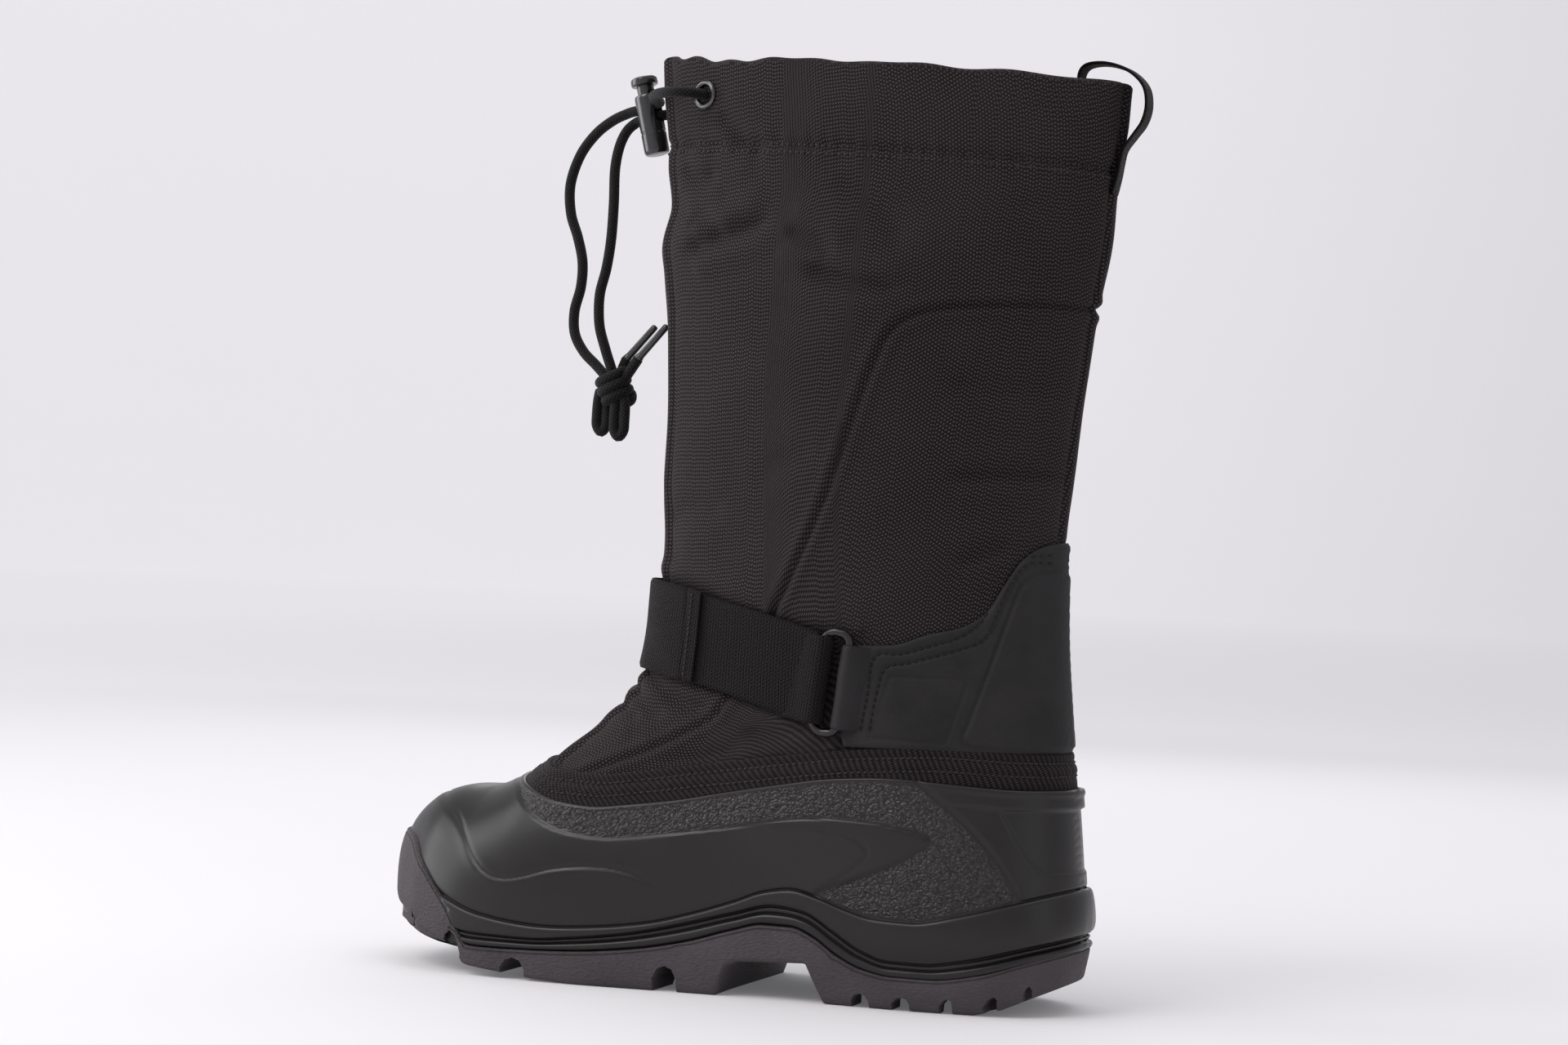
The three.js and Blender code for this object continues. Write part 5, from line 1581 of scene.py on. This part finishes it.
class BOOT_OT_stage(BootStep, bpy.types.Operator):
    """Set up the camera, the pale floor with its painted glow, and the soft studio light"""
    bl_idname, bl_label = "boot.stage", "Stage"

    CAMERA = Vector((-0.4836, 1.4249, 0.195))
    TARGET = Vector((-0.0201, -0.0017, 0.200))
    ROLL = math.radians(2.8)
    SHIFT = (-0.0130, 0.0010)
    SWEEP = 2.0  # radius of the curve from the floor up to the backdrop
    WORLD_STRENGTH = 0.56
    LIGHTS = [  # name, place, aimed at, width, height, power, colour
        ("Light_Key", (0.75, 1.15, 1.7), (0, 0, 0.2), 1.1, 1.1, 17, (1, 0.985, 0.97)),
        ("Light_Left", (1.6, 0.35, 0.55), (0.05, 0, 0.15), 0.9, 1.4, 13, (0.98, 0.985, 1)),
        ("Light_Right", (-1.5, 0.5, 0.6), (-0.05, 0, 0.2), 0.7, 1.4, 1.2, (0.98, 0.985, 1)),
        ("Light_Top", (0.0, -0.35, 1.9), (0, 0, 0.2), 1.6, 1.2, 9, (1, 1, 1)),
        ("Light_Back", (0.3, -1.6, 0.9), (0, 0, 0.2), 1.2, 0.8, 3, (1, 1, 1))]

    def execute(self, context):
        sizes, scene = self.sizes(context), context.scene
        camera = bpy.data.objects.new("Camera", bpy.data.cameras.new("Camera"))
        scene.collection.objects.link(camera)
        camera.data.lens, camera.data.sensor_width = sizes.lens, 36
        camera.data.shift_x, camera.data.shift_y = self.SHIFT
        camera.data.clip_start, camera.data.clip_end = 0.02, 100
        forward = (self.TARGET - self.CAMERA).normalized()
        right = forward.cross(Vector((0, 0, 1))).normalized()
        up = right.cross(forward)
        c, s = math.cos(self.ROLL), math.sin(self.ROLL)
        right, up = right * c + up * s, up * c - right * s
        scene.view_settings.view_transform = "Standard"
        camera.matrix_world = (Matrix.Translation(self.CAMERA)
                               @ Matrix((right, up, -forward)).transposed().to_4x4())
        scene.camera = camera
        radius = sizes.floor_radius
        profile = [(0, 0), (1.5, 0), (radius * 0.6, 0), (radius, 0)]
        profile += [(radius + self.SWEEP * math.sin(a), self.SWEEP - self.SWEEP * math.cos(a))
                    for a in np.linspace(0.1, math.pi / 2, 9)]
        profile += [(radius + self.SWEEP, 3.2)]
        floor = turned("studio_floor", [(r / MM, h / MM) for r, h in profile],
                       ORIGIN, (0, 0, 1), 64)
        floor.data.flip_normals()
        floor.data.polygons.foreach_set("use_smooth", [True] * len(floor.data.polygons))
        f = Finish("studio paper", Roughness=0.9, Specular_IOR_Level=0.1,
                   Emission_Color=(0.95, 0.94, 0.97, 1))
        # Painted light: the floor and backdrop glow by emission, the backdrop more than the floor
        # near the boot, most on the toe's side.
        across = f.add("SeparateXYZ", 0, {0: f.place()})
        away = f.add("VectorMath", "Value", {0: f.place()}, operation="LENGTH")
        glow = f.math("MULTIPLY", f.remap(away, 0.5, 2.4), f.remap(across, -2.5, 2.5, 0.03, 0.27))
        f.put(f.shader.inputs["Emission Strength"], f.math("ADD", glow, 0.10))
        pale = f.noise(f.place(), 3.0, 3)
        color = self.colors(context)["floor"]
        floor.data.materials.append(f.finish(f.tint(pale, color, 0.985, 1), None,
                                             f.bump(f.noise(f.place(), 900, 2), 0.0001, 0.2)))
        world = bpy.data.worlds.new("studio")
        world.use_nodes = True
        world.node_tree.nodes["Background"].inputs["Color"].default_value = (1, 1, 1.02, 1)
        world.node_tree.nodes["Background"].inputs["Strength"].default_value = self.WORLD_STRENGTH
        scene.world = world
        for name, place, aim, wide, high, power, tint in self.LIGHTS:
            data = bpy.data.lights.new(name, "AREA")
            data.shape, data.size, data.size_y = "RECTANGLE", wide, high
            data.energy, data.color = power, tint
            light = bpy.data.objects.new(name, data)
            scene.collection.objects.link(light)
            light.location = place
            light.rotation_euler = (Vector(aim) - Vector(place)).to_track_quat("-Z", "Y").to_euler()
        return {"FINISHED"}


class BOOT_OT_cords(BootStep, bpy.types.Operator):
    """Lay the drawcord from the eyelets through the lock to its knot, loops and tips"""
    bl_idname, bl_label = "boot.cords", "Drawcord"

    ROUTE_STEP, END_STEP = 1.0, 0.8  # distance between a tube's rings, in millimetres

    def execute(self, context):
        sizes, colors = self.sizes(context), self.colors(context)
        braid = braid_finish("cord braid", colors["cord"])
        radius = sizes.cord_diameter / MM / 2
        for name, points in CORD_ENDS.items():
            piece = tube(name, smooth_path(points, self.END_STEP), radius, sizes.around)
            finish_piece(piece, braid, (CORD_END_NODES[name],))
        path = smooth_path(knot_path(), self.END_STEP)
        knot = tube("cord_knot", path, radius * 1.04, sizes.around)
        finish_piece(knot, braid, ("drawcord_knot",))
        glossy = plastic_finish("tip plastic", colors["tip"], 0.16)
        for name, (foot, top) in TIP_PLACES.items():
            axis = unit(np.array(top) - np.array(foot))
            piece = turned(name + "_sleeve", TIP_PROFILE, foot, axis, 28)
            finish_piece(piece, glossy, (name,), creased=40)
        for name, points in CORD_ROUTES.items():
            path = smooth_path(points, self.ROUTE_STEP)
            piece = tube(name, path, radius, sizes.around)
            finish_piece(piece, braid, CORD_REPLACES[name])
        return {"FINISHED"}


class BOOT_OT_upper(BootStep, bpy.types.Operator):
    """Build the fabric upper with its creases, its lining and its casing stitches"""
    bl_idname, bl_label = "boot.upper", "Fabric upper"

    SEAM_ROWS = 120
    SEAM_GAP = 3.4  # between the casing's two rows of stitches

    def execute(self, context):
        sizes, colors = self.sizes(context), self.colors(context)
        nylon = nylon_finish("nylon cloth", colors["nylon"], sizes.weave_pitch)
        upper = finish_piece(build_upper(), nylon, ("upper",))
        lining = felt_finish("lining felt", colors["lining"])
        finish_piece(build_lining(), lining)
        thread = thread_finish("thread", colors["thread"])
        tree, seams = surface_tree(upper), []
        grid = upper_grid(self.SEAM_ROWS, UPPER_COLUMNS)
        normal = grid_normals(grid, True)
        for drop in (CASING_DROP, CASING_DROP + self.SEAM_GAP):
            over = rim_height(grid[..., 0]) - grid[..., 2] - drop
            row = (over > 0).sum(0) - 1
            above, c = np.minimum(row + 1, self.SEAM_ROWS - 1), np.arange(grid.shape[1])
            a, b = over[row, c], over[above, c]
            share = np.clip(a / (a - b), 0, 1)[:, None]
            points = grid[row, c] * (1 - share) + grid[above, c] * share
            out = normal[row, c]
            seams += stitch_line(tree, points + out * 12, -out, sizes.stitch_pitch, closed=True)
        finish_piece(stitch_mesh("stitches_casing", seams, sizes.stitch_width), thread)
        return {"FINISHED"}


class BOOT_OT_shell(BootStep, bpy.types.Operator):
    """Build the moulded rubber shell with its beads, grooves and pebbled sides"""
    bl_idname, bl_label = "boot.shell", "Rubber shell"

    def execute(self, context):
        rubber = rubber_finish("shell rubber", self.colors(context)["rubber"], 0.30, 0.50)
        finish_piece(build_shell(), rubber, ("rubber_shell",))
        return {"FINISHED"}


class BOOT_OT_outsole(BootStep, bpy.types.Operator):
    """Build the tread with its notches and grooves"""
    bl_idname, bl_label = "boot.outsole", "Outsole"

    def execute(self, context):
        tread = outsole_finish("tread rubber", self.colors(context)["tread"])
        finish_piece(build_outsole(), tread, ("outsole",), creased=35)
        return {"FINISHED"}


class BOOT_OT_gaiter(BootStep, bpy.types.Operator):
    """Build the fabric band over the shell's edge, with its two rows of stitches"""
    bl_idname, bl_label = "boot.gaiter", "Gaiter band"

    def execute(self, context):
        sizes, colors = self.sizes(context), self.colors(context)
        piece = build_gaiter()
        cloth = nylon_finish("gaiter cloth", colors["gaiter"], sizes.weave_pitch)
        finish_piece(piece, cloth)
        tree, seams = surface_tree(piece), []
        for drop in (4.0, 9.5):
            seams += row_stitches(tree, raised(GAITER_HIGH, -drop), sizes.stitch_pitch)
        thread = thread_finish("gaiter thread", colors["thread"])
        finish_piece(stitch_mesh("stitches_gaiter", seams, sizes.stitch_width), thread)
        return {"FINISHED"}


class BOOT_OT_counter(BootStep, bpy.types.Operator):
    """Build the heel counter with its embossed lines and the fold that holds the ring"""
    bl_idname, bl_label = "boot.counter", "Heel counter"

    def execute(self, context):
        sizes, colors = self.sizes(context), self.colors(context)
        leather = leather_finish("counter leather", colors["leather"])
        piece = build_counter()
        outwards(piece)
        finish_piece(piece, leather, ("heel_counter",))
        fold = build_ring_fold("heel_counter_fold", -1, COUNTER_FOLD, 35.5, -1, 1.9, 0.4)
        finish_piece(fold, leather)
        tree, seams = surface_tree(piece), []
        for line in COUNTER_STITCHES:
            for side in (1, -1):
                seams += side_stitches(tree, line, side, sizes.stitch_pitch)
        thread = thread_finish("counter thread", [v * 0.3 for v in colors["cord"]])
        stitches = stitch_mesh("stitches_counter", seams, sizes.stitch_width)
        finish_piece(stitches, thread)
        return {"FINISHED"}


class BOOT_OT_strap(BootStep, bpy.types.Operator):
    """Build the ankle strap in its layers, round the ring's front leg, with its end stitched"""
    bl_idname, bl_label = "boot.strap", "Ankle strap"

    def execute(self, context):
        sizes, colors = self.sizes(context), self.colors(context)
        webbing = webbing_finish("strap webbing", colors["webbing"], sizes.rib_pitch, 1.25)
        front, lower, upper = build_straps()
        for piece in (front, lower, upper):
            outwards(piece)
        finish_piece(front, webbing, ("ankle_strap",))
        fold = build_ring_fold("ankle_strap_fold", 1, STRAP_FOLD, 37, 0.6, 1.6, 0.3)
        for piece in (lower, upper, fold):
            finish_piece(piece, webbing)
        tree = surface_tree(front)
        x = OVERLAP_STITCH_X
        line = [(x + 0.6, STRAP_LOW(x) + 2), (x - 0.6, STRAP_HIGH(x) - 0.5)]
        seams = side_stitches(tree, line, 1, sizes.stitch_pitch * 0.8)
        thread = thread_finish("strap thread", colors["thread"])
        finish_piece(stitch_mesh("stitches_strap", seams, sizes.stitch_width), thread)
        return {"FINISHED"}


class BOOT_OT_hardware(BootStep, bpy.types.Operator):
    """Build the ring, the eyelets and the cord lock with its spring button"""
    bl_idname, bl_label = "boot.hardware", "Ring, eyelets, cord lock"

    def execute(self, context):
        colors = self.colors(context)
        ring = metal_finish("ring metal", colors["ring"], 0.28)
        finish_piece(build_ring(), ring, ("strap_ring",))
        bright = metal_finish("eyelet metal", colors["eyelet"], 0.2)
        for side, node in ((1, "eyelet_outer"), (-1, "eyelet_inner")):
            axis = (math.cos(EYELET_TURN), side * math.sin(EYELET_TURN), 0)
            place = EYELET_PLACE * np.array([1, side, 1])
            piece = turned(node + "_ring", EYELET_PROFILE, place, axis)
            finish_piece(piece, bright, (node,), creased=40)
        plastic = plastic_finish("lock plastic", colors["plastic"], 0.2)
        barrel, button = build_lock()
        finish_piece(barrel, plastic, ("cord_lock_barrel",), creased=32)
        finish_piece(button, plastic, ("cord_lock_button",), LOCK_BODY, creased=32)
        return {"FINISHED"}


class BOOT_OT_pull_loop(BootStep, bpy.types.Operator):
    """Build the pull loop at the back of the collar"""
    bl_idname, bl_label = "boot.pull_loop", "Pull loop"

    def execute(self, context):
        sizes, colors = self.sizes(context), self.colors(context)
        tape = webbing_finish("loop tape", colors["webbing"], sizes.rib_pitch, 1.1)
        finish_piece(build_pull_loop(), tape, ("pull_loop",))
        return {"FINISHED"}


class BOOT_OT_insole(BootStep, bpy.types.Operator):
    """Give the insole its felt"""
    bl_idname, bl_label = "boot.insole", "Insole"

    def execute(self, context):
        insole = bpy.data.objects["insole"]
        felt = felt_finish("insole felt", self.colors(context)["lining"])
        if not insole.material_slots:
            insole.data.materials.append(felt)
        for place in insole.material_slots:
            place.material = felt
        return {"FINISHED"}


STEPS = (BOOT_OT_stage, BOOT_OT_cords, BOOT_OT_upper, BOOT_OT_shell, BOOT_OT_outsole,
         BOOT_OT_gaiter, BOOT_OT_counter, BOOT_OT_strap, BOOT_OT_hardware, BOOT_OT_pull_loop,
         BOOT_OT_insole)


class BOOT_PT_steps(bpy.types.Panel):
    """The boot's settings and steps"""
    bl_idname, bl_label = "BOOT_PT_steps", "Snow boot"
    bl_space_type, bl_region_type, bl_category = "VIEW_3D", "UI", "Boot"

    def draw(self, context):
        for group in (context.scene.boot_sizes, context.scene.boot_colors):
            box = self.layout.box()
            for key in type(group).__annotations__:
                box.prop(group, key)
        for step in STEPS:
            self.layout.operator(step.bl_idname)


CLASSES = (BootSizes, BootColors, *STEPS, BOOT_PT_steps)


def register():
    for cls in CLASSES:
        bpy.utils.register_class(cls)
    bpy.types.Scene.boot_sizes = PointerProperty(type=BootSizes)
    bpy.types.Scene.boot_colors = PointerProperty(type=BootColors)


def unregister():
    del bpy.types.Scene.boot_sizes, bpy.types.Scene.boot_colors
    for cls in reversed(CLASSES):
        bpy.utils.unregister_class(cls)


def main():
    register()
    for step in STEPS:
        group, name = step.bl_idname.split(".")
        getattr(getattr(bpy.ops, group), name)()


if __name__ == "__main__":
    main()
